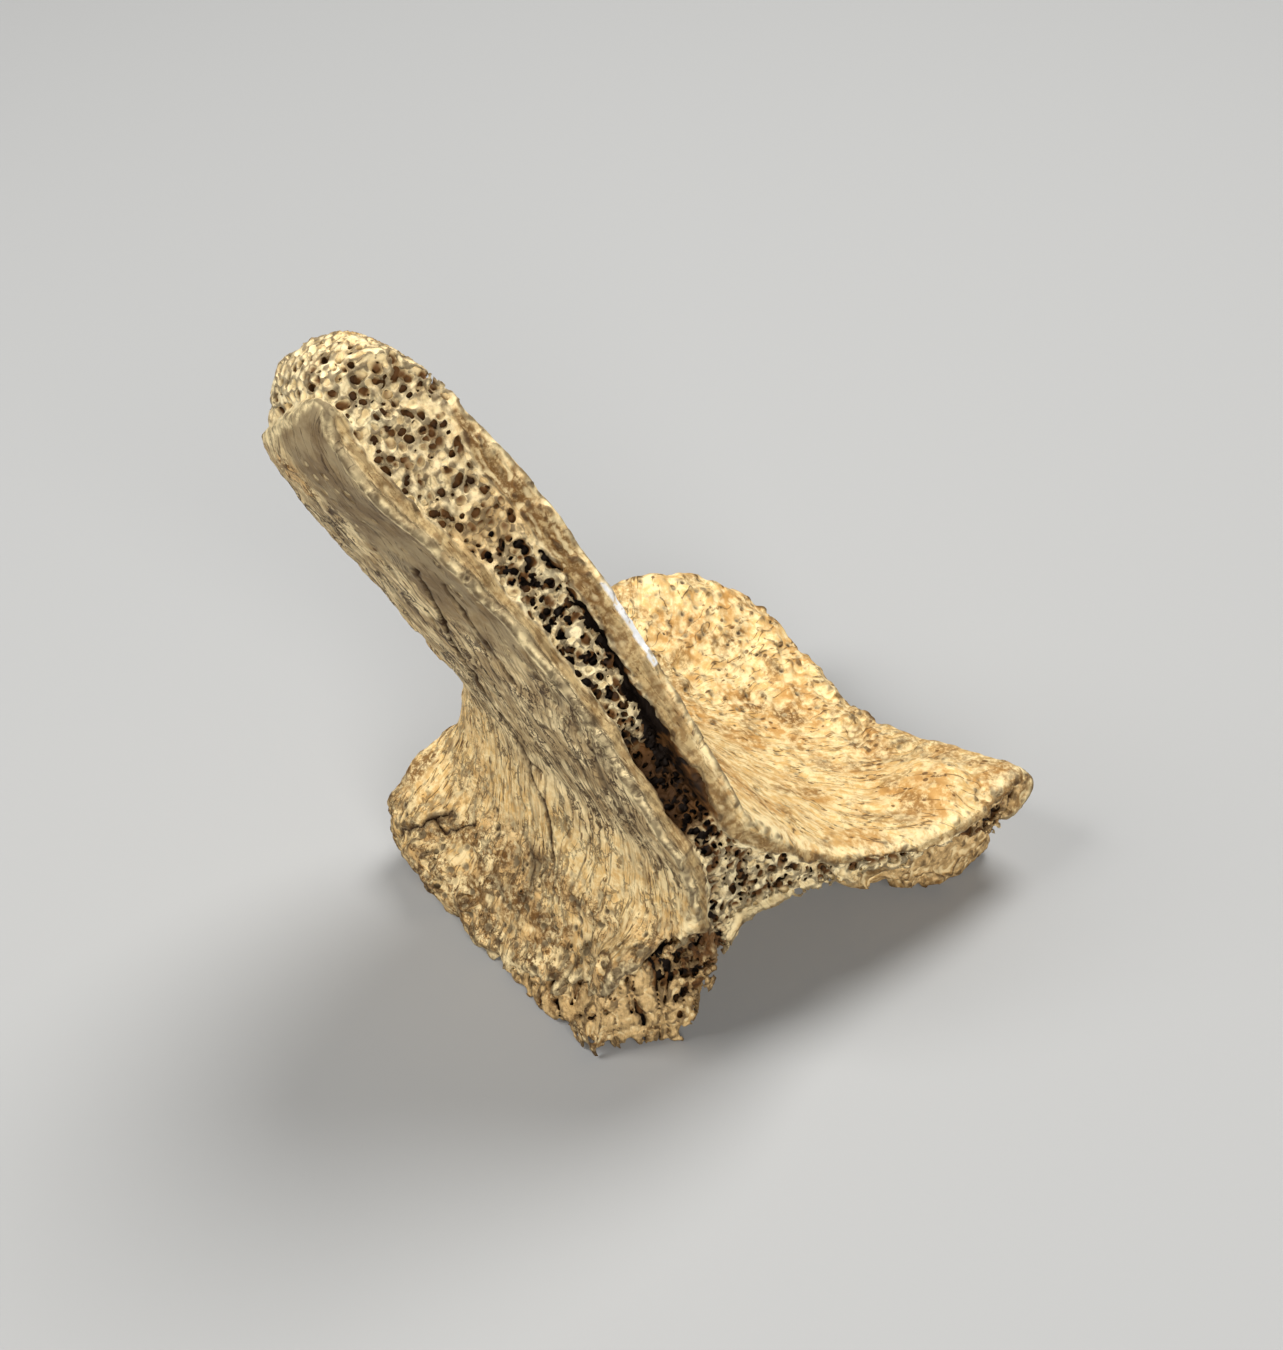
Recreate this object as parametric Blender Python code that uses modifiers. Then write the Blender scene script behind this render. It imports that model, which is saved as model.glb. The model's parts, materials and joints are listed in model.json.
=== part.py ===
"""Fossil cave bear vertebra: the spinous process and both laminae of a lumbar vertebra, broken
across the neural arch, as it lies on the floor. Metres, +Z up, origin under the middle of its box.

The bone's own axes: x to its right, y along the canal and away from the broken face, z up the
spinous process. Their origin is the middle of the broken face, where blade and laminae meet.
"""

from math import ceil, cos, pi, radians, sin, tan

import bmesh
import bpy
import numpy as np
from mathutils import Matrix, Vector, noise

MM = 0.001
OBJECT_NAME = "fossil_cave_bear_vertebra"

# How the bone lies: turned about the vertical, nose down, rolled on its left side.
REST_HEADING = radians(36.0)
REST_PITCH = radians(-8.0)
REST_ROLL = radians(21.0)
ORIGIN_HEIGHT = 32.4 * MM

# Driving sizes in millimetres. Each row of a table is one station and what is read there.
# The blade's front leans back above LEAN_START. It is made longer in front, and then broken off.
BLADE_LEAN = radians(22.0)
LEAN_START = 5.0
BLADE_OVERSHOOT = 10.0
BLADE_SIDES = 16
EDGE_FULLNESS = 0.7
FACE_FULLNESS = 0.55
# Height z, back edge y, left and right face in front, left and right face behind.
BLADE = (
    (-8.0, 50.0, -6.6, 4.6, -6.4, 6.0),
    (6.0, 51.0, -6.6, 5.4, -6.8, 6.5),
    (18.0, 52.0, -4.8, 7.0, -8.4, 7.4),
    (30.0, 52.0, -3.8, 8.1, -10.0, 8.0),
    (42.0, 50.5, -4.4, 8.5, -11.6, 7.6),
    (52.0, 47.5, -6.4, 7.8, -12.6, 6.6),
    (60.0, 43.0, -7.8, 6.4, -9.4, 5.0),
    (66.5, 35.0, -5.2, 4.4, -4.4, 3.4),
)
# Laminae. Keel between them: distance y, its height, left and right edge, height of the arch's
# apex under it, slope of the canal's roof in degrees, how far the back margin is notched there.
KEEL = (
    (-5.0, 5.0, -4.0, 3.6, -10.0, 38.0, 0.0),
    (4.0, 7.0, -3.8, 3.9, -10.0, 38.0, 0.0),
    (13.0, 10.0, -3.4, 5.0, -10.5, 38.0, 0.0),
    (22.0, 12.0, -3.8, 6.0, -11.0, 37.0, 0.0),
    (40.0, 10.0, -5.0, 6.6, -11.0, 33.0, 0.5),
    (47.0, 7.0, -5.4, 6.6, -10.0, 30.0, 2.0),
    (55.0, 3.0, -5.0, 6.0, -8.0, 26.0, 5.0),
)
# Rims: distance y, x and z of the rim, hollow, swell and thickness. A small hollow bends the
# slope close to the keel, a large one leaves it straight; the swell lifts the articular process.
RIGHT_RIM = (
    (-5.0, 44.0, -32.8, 0.26, 0.0, 4.8),
    (4.0, 43.6, -33.0, 0.27, 0.0, 4.8),
    (16.0, 39.0, -33.2, 0.30, 0.0, 4.4),
    (26.0, 36.2, -33.0, 0.33, 0.0, 4.4),
    (35.0, 36.2, -31.2, 0.38, 0.3, 5.0),
    (42.0, 37.0, -27.0, 0.55, 1.8, 6.0),
    (48.0, 37.6, -23.0, 0.80, 5.6, 8.0),
    (55.0, 36.4, -20.5, 1.00, 8.8, 8.5),
)
LEFT_RIM = (
    (-5.0, -19.0, -22.0, 1.2, 0.0, 4.6),
    (4.0, -22.5, -22.0, 0.7, 0.0, 4.0),
    (13.0, -26.8, -21.0, 0.7, 0.0, 3.0),
    (24.0, -27.0, -19.4, 0.6, 0.0, 2.6),
    (34.0, -25.6, -17.0, 0.5, 0.0, 3.0),
    (41.0, -26.0, -13.8, 0.36, 0.6, 6.0),
    (47.0, -25.2, -10.6, 0.22, 2.2, 10.8),
    (55.0, -23.8, -8.6, 0.15, 3.2, 9.4),
)
TOP_SHARES = (0.0, 0.1, 0.22, 0.36, 0.5, 0.66, 0.84, 1.0)
ROOF_SHARES = (1.0, 0.8, 0.6, 0.4, 0.2)
SWELL_LEAN = 1.6
LAMINA_STATIONS = (-5.0, 2.0, 9.0, 16.0, 23.0, 30.0, 36.0, 42.0, 47.0, 51.5, 55.5)
LAMINA_THICK = 4.0
APEX_X = -2.0
NOTCH_HALF = 16.0
# Roots of the pedicles, from inside the lamina down past the floor: middle and half lengths.
LEFT_ROOT = (
    ((-13.5, 6.0, -8.0), (4.0, 6.0)),
    ((-15.0, 7.0, -15.0), (5.2, 7.5)),
    ((-17.8, 9.0, -23.0), (5.8, 8.8)),
    ((-20.4, 11.0, -32.0), (4.8, 8.2)),
)
LEFT_ROOT_TURN = radians(38.0)
RIGHT_ROOT = (
    ((23.8, 9.0, -26.0), (12.0, 7.0)),
    ((24.6, 9.2, -31.8), (12.4, 7.4)),
    ((29.0, 10.5, -37.5), (10.4, 7.8)),
    ((29.6, 11.5, -42.5), (8.4, 7.2)),
    ((30.0, 13.0, -49.0), (4.6, 5.6)),
)
RIGHT_ROOT_TURN = radians(-12.0)
ROOT_SIDES = 12
ROOT_FULLNESS = 0.8
# Split along the broken front of the blade, between its right wall and the spongy core:
# height z, distance of its middle inside the front's right edge, half width, depth.
CREVICE = (
    (3.0, 3.0, 0.3, 1.0),
    (9.0, 3.4, 1.9, 5.0),
    (16.0, 3.6, 2.1, 6.5),
    (24.0, 2.9, 1.0, 5.0),
    (36.0, 2.6, 0.7, 3.5),
    (47.0, 2.4, 0.3, 1.5),
)
CREVICE_SIDES = 8
# Broken surface: how rough it is, the width of its lumps, and how their octaves follow.
BREAK_ROUGH = 0.5
BREAK_GRAIN = 3.2
BREAK_FRACTAL = (0.8, 2.1, 2)
# It runs back from its flat middle on the left of the first x and on the right of the second.
LEFT_BREAK_START = -7.0
LEFT_BREAK_SLOPE = 0.55
RIGHT_BREAK_START = 33.0
RIGHT_BREAK_SLOPE = 0.32
# The block that is broken off: half width, lowest and highest point, front, and mesh step.
BREAK_HALF_WIDTH = 60.0
BREAK_LOW = -60.0
BREAK_HIGH = 90.0
BREAK_FRONT = -40.0
BREAK_STEP = 1.6
# Notches between the splinters under the left root: place along the root's foot, width, height.
LEFT_ROOT_FOOT = (-19.2, 10.0, -27.0)
NOTCHES = ((-6.4, 1.6, 3.6), (-2.4, 1.2, 4.6), (2.4, 1.8, 5.4), (6.4, 1.2, 3.0))
NOTCH_REACH = 9.0
NOTCH_SINK = 6.0
NOTCH_SIDES = 7
NOTCH_TIP = 0.08

# The floor, cut away below the bone.
FLOOR_WIDTH = 400.0
FLOOR_DEPTH = 50.0

# Finish of the modelled surface.
VOXEL = 0.9 * MM
SMOOTH_TURNS = 12
SMOOTH_FACTOR = 0.5
FINE_VOXEL = 0.6 * MM
TRIANGLES = 9000
SHARP_EDGE = radians(40.0)

# The bone is parted by thin slabs: middle, half lengths and turn about y of each.
SLAB_THICK = 0.3
SLABS = {
    "under_the_blade": ((0.0, 20.0, 6.5), (60.0, 60.0), 0.0),
    "left_of_the_root": ((-17.5, 8.0, -23.0), (13.0, 17.0), radians(-35.0)),
    "right_of_the_root": ((26.5, 10.0, -35.3), (17.0, 18.0), radians(28.0)),
}
MIDLINE_X = 0.0
ARTICULAR_Y = 41.0
PARTING_DEPTH = 80.0
PARTING_REACH = 120.0
PARTING_MIDDLE_Y = 20.0
# A point inside each named part, by which the parted bodies are told apart, and its finish.
ANCHORS = {
    "spinous_process": ((2.0, 35.0, 35.0), "weathered_bone"),
    "left_lamina": ((-13.0, 22.0, -8.0), "weathered_bone"),
    "right_lamina": ((18.0, 20.0, -21.0), "cream_bone"),
    "left_articular_process": ((-17.0, 48.0, -12.0), "cream_bone"),
    "right_articular_process": ((25.0, 48.0, -17.0), "cream_bone"),
    "left_pedicle_root": ((-18.5, 9.0, -25.5), "stained_bone"),
    "right_pedicle_root": ((27.6, 11.0, -41.0), "stained_bone"),
}
FINISHES = {
    "weathered_bone": ((0.40, 0.31, 0.20), 0.82),
    "cream_bone": ((0.62, 0.46, 0.27), 0.75),
    "stained_bone": ((0.38, 0.25, 0.13), 0.90),
}


def read_table(table, station):
    """Read every column of a table between its stations."""
    columns = list(zip(*table))
    return [float(np.interp(station, columns[0], column)) for column in columns[1:]]


def signed_power(value, power):
    """A power under 1 fills an oval's corners out."""
    return abs(value) ** power * (1.0 if value >= 0 else -1.0)


def new_object(name, mesh, collection):
    thing = bpy.data.objects.new(name, mesh)
    collection.objects.link(thing)
    return thing


def loft(name, rings, collection, levels=2):
    """A closed body through rings of equal count, rounded by subdivision."""
    bm = bmesh.new()
    rows = [[bm.verts.new(Vector(p) * MM) for p in ring] for ring in rings]
    count = len(rows[0])
    for low, high in zip(rows, rows[1:]):
        for i in range(count):
            j = (i + 1) % count
            bm.faces.new((low[i], low[j], high[j], high[i]))
    bm.faces.new(rows[0][::-1])
    bm.faces.new(rows[-1])
    bmesh.ops.recalc_face_normals(bm, faces=bm.faces)
    mesh = bpy.data.meshes.new(name)
    bm.to_mesh(mesh)
    bm.free()
    thing = new_object(name, mesh, collection)
    rounded = thing.modifiers.new("Rounded", "SUBSURF")
    rounded.levels = levels
    rounded.render_levels = levels
    return thing


def apply_modifiers(thing):
    """Keep the evaluated shape as the object's own mesh."""
    graph = bpy.context.evaluated_depsgraph_get()
    mesh = bpy.data.meshes.new_from_object(thing.evaluated_get(graph))
    old = thing.data
    thing.modifiers.clear()
    thing.data = mesh
    bpy.data.meshes.remove(old)


def remove_objects(collection):
    for thing in list(collection.objects):
        bpy.data.objects.remove(thing)


def front_y(z):
    """Distance of the blade's broken front edge at height z."""
    return max(0.0, z - LEAN_START) * tan(BLADE_LEAN)


def blade_ring(z):
    """Flat oval round the blade at height z, squarer in front than behind."""
    back, left_front, right_front, left_back, right_back = read_table(BLADE, z)
    edge = front_y(z)
    front = edge - BLADE_OVERSHOOT
    middle, half = (front + back) / 2, (back - front) / 2
    ring = []
    for step in range(BLADE_SIDES):
        angle = 2 * pi * (step + 0.5) / BLADE_SIDES
        along = signed_power(sin(angle), EDGE_FULLNESS)
        y = middle + half * along
        share = max(0.0, (y - edge) / (back - edge))
        left = left_front + (left_back - left_front) * share
        right = right_front + (right_back - right_front) * share
        across = signed_power(cos(angle), FACE_FULLNESS)
        x = (left + right) / 2 + (right - left) / 2 * across
        ring.append((x, y, z))
    return ring


def spinous_process(collection):
    heights = [row[0] for row in BLADE]
    return loft("blade", [blade_ring(z) for z in heights], collection)


def lamina_side(keel, rim, apex_z, slope):
    """Upper outline of one lamina from keel to rim, and its lower one back to the apex."""
    rim_x, rim_z, hollow, swell, thick = rim
    top = []
    for share in TOP_SHARES:
        fall = share * (1.0 + hollow) / (share + hollow)
        lift = swell * sin(pi * share ** SWELL_LEAN)
        x = keel[0] + (rim_x - keel[0]) * share
        top.append((x, keel[1] - (keel[1] - rim_z) * fall + lift))
    bottom = []
    for share in ROOF_SHARES:
        x = APEX_X + (rim_x - APEX_X) * share
        roof = max(apex_z - abs(x - APEX_X) * slope, rim_z - thick)
        above = np.interp(abs(x), [abs(p[0]) for p in top], [p[1] for p in top])
        bottom.append((x, min(roof, above - LAMINA_THICK)))
    return top, bottom


def lamina_ring(y):
    """Section across both laminae, an upturned V with its keel in the blade."""
    keel_z, keel_left, keel_right, apex_z, slope, notch = read_table(KEEL, y)
    slope = tan(radians(slope))
    right = lamina_side((keel_right, keel_z), read_table(RIGHT_RIM, y), apex_z, slope)
    left = lamina_side((keel_left, keel_z), read_table(LEFT_RIM, y), apex_z, slope)
    outline = right[0] + right[1] + [(APEX_X, apex_z)] + left[1][::-1] + left[0][::-1]
    return [(x, y - notch * max(0.0, 1.0 - (x / NOTCH_HALF) ** 2), z) for x, z in outline]


def laminae(collection):
    return loft("laminae", [lamina_ring(y) for y in LAMINA_STATIONS], collection)


def root(name, stations, turn, collection):
    """Stump of a pedicle: ovals from inside the lamina down to the broken foot."""
    rings = []
    for middle, (half_x, half_y) in stations:
        ring = []
        for step in range(ROOT_SIDES):
            angle = 2 * pi * step / ROOT_SIDES
            across = half_x * signed_power(cos(angle), ROOT_FULLNESS)
            along = half_y * signed_power(sin(angle), ROOT_FULLNESS)
            x = middle[0] + across * cos(turn) - along * sin(turn)
            y = middle[1] + across * sin(turn) + along * cos(turn)
            ring.append((x, y, middle[2]))
        rings.append(ring)
    return loft(name, rings, collection)


def even_mesh(thing, voxel):
    remesh = thing.modifiers.new("Even mesh", "REMESH")
    remesh.mode = "VOXEL"
    remesh.voxel_size = voxel


def whole_bone(collection, pieces):
    """Blade, laminae and roots as one closed body with rounded joins."""
    bone = laminae(collection)
    spinous_process(pieces)
    root("left_root", LEFT_ROOT, LEFT_ROOT_TURN, pieces)
    root("right_root", RIGHT_ROOT, RIGHT_ROOT_TURN, pieces)
    union = bone.modifiers.new("Union", "BOOLEAN")
    union.operation = "UNION"
    union.operand_type = "COLLECTION"
    union.collection = pieces
    union.solver = "EXACT"
    even_mesh(bone, VOXEL)
    smooth = bone.modifiers.new("Rounded joins", "SMOOTH")
    smooth.factor = SMOOTH_FACTOR
    smooth.iterations = SMOOTH_TURNS
    apply_modifiers(bone)
    remove_objects(pieces)
    return bone


def break_y(x, z):
    """Distance of the broken surface from the bone's origin, at x and z in millimetres."""
    y = front_y(z)
    if z < LEAN_START:
        y += max(0.0, LEFT_BREAK_START - x) * LEFT_BREAK_SLOPE
        y += max(0.0, x - RIGHT_BREAK_START) * RIGHT_BREAK_SLOPE
    spot = Vector((x, 0.0, z)) / BREAK_GRAIN
    return y + BREAK_ROUGH * noise.fractal(spot, *BREAK_FRACTAL)


def break_cutter(cutters):
    """A block in front of the bone whose back face is the rough broken surface."""
    bm = bmesh.new()
    across = ceil(2 * BREAK_HALF_WIDTH / BREAK_STEP)
    up = ceil((BREAK_HIGH - BREAK_LOW) / BREAK_STEP)
    bmesh.ops.create_grid(bm, x_segments=across, y_segments=up, size=1.0)
    for vert in bm.verts:
        x = vert.co.x * BREAK_HALF_WIDTH
        z = BREAK_LOW + (vert.co.y + 1.0) / 2 * (BREAK_HIGH - BREAK_LOW)
        vert.co = Vector((x, break_y(x, z), z)) * MM
    faces = bmesh.ops.extrude_face_region(bm, geom=bm.faces[:])
    for item in faces["geom"]:
        if isinstance(item, bmesh.types.BMVert):
            item.co.y = BREAK_FRONT * MM
    bmesh.ops.recalc_face_normals(bm, faces=bm.faces)
    mesh = bpy.data.meshes.new("break")
    bm.to_mesh(mesh)
    bm.free()
    return new_object("break", mesh, cutters)


def crevice_cutter(cutters):
    """A narrow wedge that follows the right wall of the blade's broken front."""
    rings = []
    for z, inside, half, depth in CREVICE:
        right = read_table(BLADE, z)[2]
        middle = front_y(z)
        ring = []
        for step in range(CREVICE_SIDES):
            angle = 2 * pi * step / CREVICE_SIDES
            ring.append((right - inside + half * cos(angle), middle + depth * sin(angle), z))
        rings.append(ring)
    return loft("crevice", rings, cutters, levels=1)


def notch_cutters(cutters):
    """Upright wedges that leave splinters along the foot of the left root."""
    middle = Vector(LEFT_ROOT_FOOT)
    turn = Matrix.Rotation(LEFT_ROOT_TURN, 4, "Z")
    for along, width, height in NOTCHES:
        bpy.ops.mesh.primitive_cone_add(
            vertices=NOTCH_SIDES, radius1=1.0, radius2=NOTCH_TIP, depth=1.0
        )
        thing = bpy.context.object
        place = Matrix.Translation((middle + turn @ Vector((0.0, along, height / 2))) * MM)
        size = Matrix.Diagonal((NOTCH_REACH * MM, width * MM, (height + NOTCH_SINK) * MM, 1.0))
        thing.data.transform(place @ turn @ size)
        move_to(thing, cutters)


def rest_pose():
    """From the bone's own axes to the lying pose, with its origin above the floor."""
    heading = Matrix.Rotation(REST_HEADING, 4, "Z")
    pitch = Matrix.Rotation(REST_PITCH, 4, "X")
    roll = Matrix.Rotation(-REST_ROLL, 4, "Y")
    return Matrix.Translation((0.0, 0.0, ORIGIN_HEIGHT)) @ heading @ pitch @ roll


def move_to(thing, collection):
    for holder in list(thing.users_collection):
        holder.objects.unlink(thing)
    collection.objects.link(thing)


def block(name, middle, size, turn, collection):
    """A box of the given full size, turned about its own middle, in metres."""
    bpy.ops.mesh.primitive_cube_add(size=1.0)
    thing = bpy.context.object
    thing.name = name
    place = Matrix.Translation(middle) @ turn
    thing.data.transform(place @ Matrix.Diagonal((*size, 1.0)))
    move_to(thing, collection)
    return thing


def floor_cutter(cutters):
    """All that would reach under the floor, so the bone rests on small flats at one level."""
    width, depth = FLOOR_WIDTH * MM, FLOOR_DEPTH * MM
    block("floor", (0.0, 0.0, -depth / 2), (width, width, depth), Matrix.Identity(4), cutters)


def parting_cutters(pose, cutters):
    """Thin slabs that part the bone where its named parts meet."""
    thick = SLAB_THICK * MM
    for name, (middle, halves, turn) in SLABS.items():
        place = pose @ Matrix.Translation(Vector(middle) * MM) @ Matrix.Rotation(turn, 4, "Y")
        size = (2 * halves[0] * MM, 2 * halves[1] * MM, thick)
        block(name, place.to_translation(), size, place.to_3x3().to_4x4(), cutters)
    turn = pose.to_3x3().to_4x4()
    reach, depth = PARTING_REACH * MM, PARTING_DEPTH * MM
    below = SLABS["under_the_blade"][0][2] - PARTING_DEPTH / 2
    midline = pose @ (Vector((MIDLINE_X, PARTING_MIDDLE_Y, below)) * MM)
    block("midline", midline, (thick, reach, depth), turn, cutters)
    articular = pose @ (Vector((0.0, ARTICULAR_Y, below)) * MM)
    block("articular", articular, (reach, thick, depth), turn, cutters)


def cut(thing, cutters):
    """Take every cutter away from the object. The exact solver leaves touching edges on the
    rough break, so the manifold one is used."""
    for cutter in cutters.objects:
        cutter.hide_render = True
        cutter.display_type = "WIRE"
    modifier = thing.modifiers.new("Cut", "BOOLEAN")
    modifier.operation = "DIFFERENCE"
    modifier.operand_type = "COLLECTION"
    modifier.collection = cutters
    modifier.solver = "MANIFOLD"
    apply_modifiers(thing)
    remove_objects(cutters)


def fewer_faces(thing):
    even_mesh(thing, FINE_VOXEL)
    apply_modifiers(thing)
    thing.data.calc_loop_triangles()
    modifier = thing.modifiers.new("Fewer faces", "DECIMATE")
    modifier.ratio = min(1.0, TRIANGLES / len(thing.data.loop_triangles))
    modifier.use_collapse_triangulate = True
    apply_modifiers(thing)


def bodies(bm):
    """Connected bodies of a mesh, each as a list of its vertices."""
    seen = set()
    found = []
    for start in bm.verts:
        if start in seen:
            continue
        seen.add(start)
        group = [start]
        for vert in group:
            for edge in vert.link_edges:
                other = edge.other_vert(vert)
                if other not in seen:
                    seen.add(other)
                    group.append(other)
        found.append(group)
    return found


def body_mesh(mesh, index, name):
    """A mesh with only one of the connected bodies, as triangles."""
    bm = bmesh.new()
    bm.from_mesh(mesh)
    groups = bodies(bm)
    drop = [vert for number, group in enumerate(groups) if number != index for vert in group]
    bmesh.ops.delete(bm, geom=drop, context="VERTS")
    bmesh.ops.triangulate(bm, faces=bm.faces[:])
    made = bpy.data.meshes.new(name)
    bm.to_mesh(made)
    bm.free()
    return made


def named_parts(bone, pose, collection):
    """One object for each named part: the largest parted body nearest its anchor."""
    bm = bmesh.new()
    bm.from_mesh(bone.data)
    anchors = {name: pose @ (Vector(row[0]) * MM) for name, row in ANCHORS.items()}
    chosen = {}
    for number, group in enumerate(bodies(bm)):
        middle = sum((vert.co for vert in group), Vector()) / len(group)
        name = min(anchors, key=lambda key: (anchors[key] - middle).length)
        if name not in chosen or len(group) > chosen[name][0]:
            chosen[name] = (len(group), number)
    bm.free()
    parts = []
    for name, (_, number) in chosen.items():
        parts.append(new_object(name, body_mesh(bone.data, number, name), collection))
    bpy.data.objects.remove(bone)
    return parts


def finish(name, colour, roughness):
    material = bpy.data.materials.new(name)
    material.use_nodes = True
    shader = material.node_tree.nodes["Principled BSDF"]
    shader.inputs["Base Color"].default_value = (*colour, 1.0)
    shader.inputs["Roughness"].default_value = roughness
    shader.inputs["Metallic"].default_value = 0.0
    return material


def dress(parts):
    finishes = {name: finish(name, *row) for name, row in FINISHES.items()}
    for thing in parts:
        thing.data.materials.append(finishes[ANCHORS[thing.name][1]])
        thing.data.shade_smooth()
        thing.data.set_sharp_from_angle(angle=SHARP_EDGE)


def set_down(parts, collection):
    """Bring the middle of the box's floor to the origin, and hang the parts on one empty."""
    corners = [vert.co for thing in parts for vert in thing.data.vertices]
    low = Vector([min(corner[axis] for corner in corners) for axis in range(3)])
    high = Vector([max(corner[axis] for corner in corners) for axis in range(3)])
    shift = Vector((-(low.x + high.x) / 2, -(low.y + high.y) / 2, 0.0))
    frame = bpy.data.objects.new("vertebra_frame", None)
    collection.objects.link(frame)
    for thing in parts:
        thing.parent = frame
        thing.location = shift


def main():
    for thing in list(bpy.data.objects):
        bpy.data.objects.remove(thing)
    collection = bpy.data.collections.new(OBJECT_NAME)
    pieces = bpy.data.collections.new("pieces")
    cutters = bpy.data.collections.new("cutters")
    for made in (collection, pieces, cutters):
        bpy.context.scene.collection.children.link(made)
    bone = whole_bone(collection, pieces)
    for make_cutters in (break_cutter, crevice_cutter, notch_cutters):
        make_cutters(cutters)
        cut(bone, cutters)
    fewer_faces(bone)
    pose = rest_pose()
    bone.data.transform(pose)
    floor_cutter(cutters)
    cut(bone, cutters)
    parting_cutters(pose, cutters)
    cut(bone, cutters)
    parts = named_parts(bone, pose, collection)
    dress(parts)
    set_down(parts, collection)


main()
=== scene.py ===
"""Looks of the fossil cave bear vertebra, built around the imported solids.

The bone's outer shape is lofted from the same sizes as the solids, read into a grid of distances,
broken, pitted and cracked there, and turned into meshes. Lengths are millimetres in the bone's own
axes (x right, y along the canal away from the break, z up the spinous process) until to_world.
"""

import json
from concurrent.futures import ThreadPoolExecutor
from functools import lru_cache
from itertools import product
from math import cos, pi, radians, sin, tan

import bmesh
import bpy
import numpy as np
import openvdb as vdb
from mathutils import Euler, Matrix, Vector, noise

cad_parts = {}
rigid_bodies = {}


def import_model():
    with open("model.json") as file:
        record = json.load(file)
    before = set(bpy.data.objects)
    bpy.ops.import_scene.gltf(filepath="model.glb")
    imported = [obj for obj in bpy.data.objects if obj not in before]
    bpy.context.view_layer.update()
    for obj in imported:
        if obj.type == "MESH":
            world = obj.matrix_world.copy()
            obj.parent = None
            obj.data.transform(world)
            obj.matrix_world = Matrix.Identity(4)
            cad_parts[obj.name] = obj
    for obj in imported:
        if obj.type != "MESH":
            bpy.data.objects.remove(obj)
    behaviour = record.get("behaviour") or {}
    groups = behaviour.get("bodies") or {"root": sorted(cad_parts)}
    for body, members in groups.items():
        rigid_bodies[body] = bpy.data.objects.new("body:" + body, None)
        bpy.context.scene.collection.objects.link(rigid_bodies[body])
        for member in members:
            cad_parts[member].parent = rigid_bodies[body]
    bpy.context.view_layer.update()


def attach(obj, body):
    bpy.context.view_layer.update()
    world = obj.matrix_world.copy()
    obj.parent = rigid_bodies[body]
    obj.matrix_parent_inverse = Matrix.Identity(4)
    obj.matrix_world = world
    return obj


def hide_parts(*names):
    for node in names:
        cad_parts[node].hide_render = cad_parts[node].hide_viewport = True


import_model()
SCENE = bpy.context.scene

MM = 0.001

# How the bone lies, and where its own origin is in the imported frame.
REST_HEADING = radians(36)
REST_PITCH = radians(-8)
REST_ROLL = radians(21)
BONE_ORIGIN = (4.557, -30.567, 32.4)

# The solids' driving sizes in millimetres. Each row of a table is one station.
BLADE_LEAN = radians(22)
LEAN_START = 5
BLADE_OVERSHOOT = 10
BLADE_SIDES = 16
EDGE_FULLNESS = 0.7
FACE_FULLNESS = 0.55
# Height z, back edge y, left and right face in front, left and right face behind.
BLADE = (
    (-8, 50, -6.6, 4.6, -6.4, 6),
    (6, 51, -6.6, 5.4, -6.8, 6.5),
    (18, 52, -4.8, 7, -8.4, 7.4),
    (30, 52, -3.8, 8.1, -10, 8),
    (42, 50.5, -4.4, 8.5, -11.6, 7.6),
    (52, 47.5, -6.4, 7.8, -12.6, 6.6),
    (60, 43, -7.8, 6.4, -9.4, 5),
    (66.5, 35, -5.2, 4.4, -4.4, 3.4),
)
# Laminae. Keel between them: distance y, its height, left and right edge, height of the arch's
# apex under it, slope of the canal's roof in degrees, how far the back margin is notched there.
KEEL = (
    (-5, 5, -4, 3.6, -10, 38, 0),
    (4, 7, -3.8, 3.9, -10, 38, 0),
    (13, 10, -3.4, 5, -10.5, 38, 0),
    (22, 12, -3.8, 6, -11, 37, 0),
    (40, 10, -5, 6.6, -11, 33, 0.5),
    (47, 7, -5.4, 6.6, -10, 30, 2),
    (55, 3, -5, 6, -8, 26, 5),
)
# Rims: distance y, x and z of the rim, hollow, swell and thickness.
RIGHT_RIM = (
    (-5, 44, -32.8, 0.26, 0, 4.8),
    (4, 43.6, -33, 0.27, 0, 4.8),
    (16, 39, -33.2, 0.30, 0, 4.4),
    (26, 36.2, -33, 0.33, 0, 4.4),
    (35, 36.2, -31.2, 0.38, 0.3, 5),
    (42, 37, -27, 0.55, 1.8, 6),
    (48, 37.6, -23, 0.80, 5.6, 8),
    (55, 36.4, -20.5, 1.00, 8.8, 8.5),
)
LEFT_RIM = (
    (-5, -19, -22, 1.2, 0, 4.6),
    (4, -22.5, -22, 0.7, 0, 4),
    (13, -26.8, -21, 0.7, 0, 3),
    (24, -27, -19.4, 0.6, 0, 2.6),
    (34, -25.6, -17, 0.5, 0, 3),
    (41, -26, -13.8, 0.36, 0.6, 6),
    (47, -25.2, -10.6, 0.22, 2.2, 10.8),
    (55, -23.8, -8.6, 0.15, 3.2, 9.4),
)
TOP_SHARES = (0, 0.1, 0.22, 0.36, 0.5, 0.66, 0.84, 1)
ROOF_SHARES = (1, 0.8, 0.6, 0.4, 0.2)
SWELL_LEAN = 1.6
LAMINA_STATIONS = (-5, 2, 9, 16, 23, 30, 36, 42, 47, 51.5, 55.5)
LAMINA_THICK = 4
APEX_X = -2
NOTCH_HALF = 16
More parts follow.
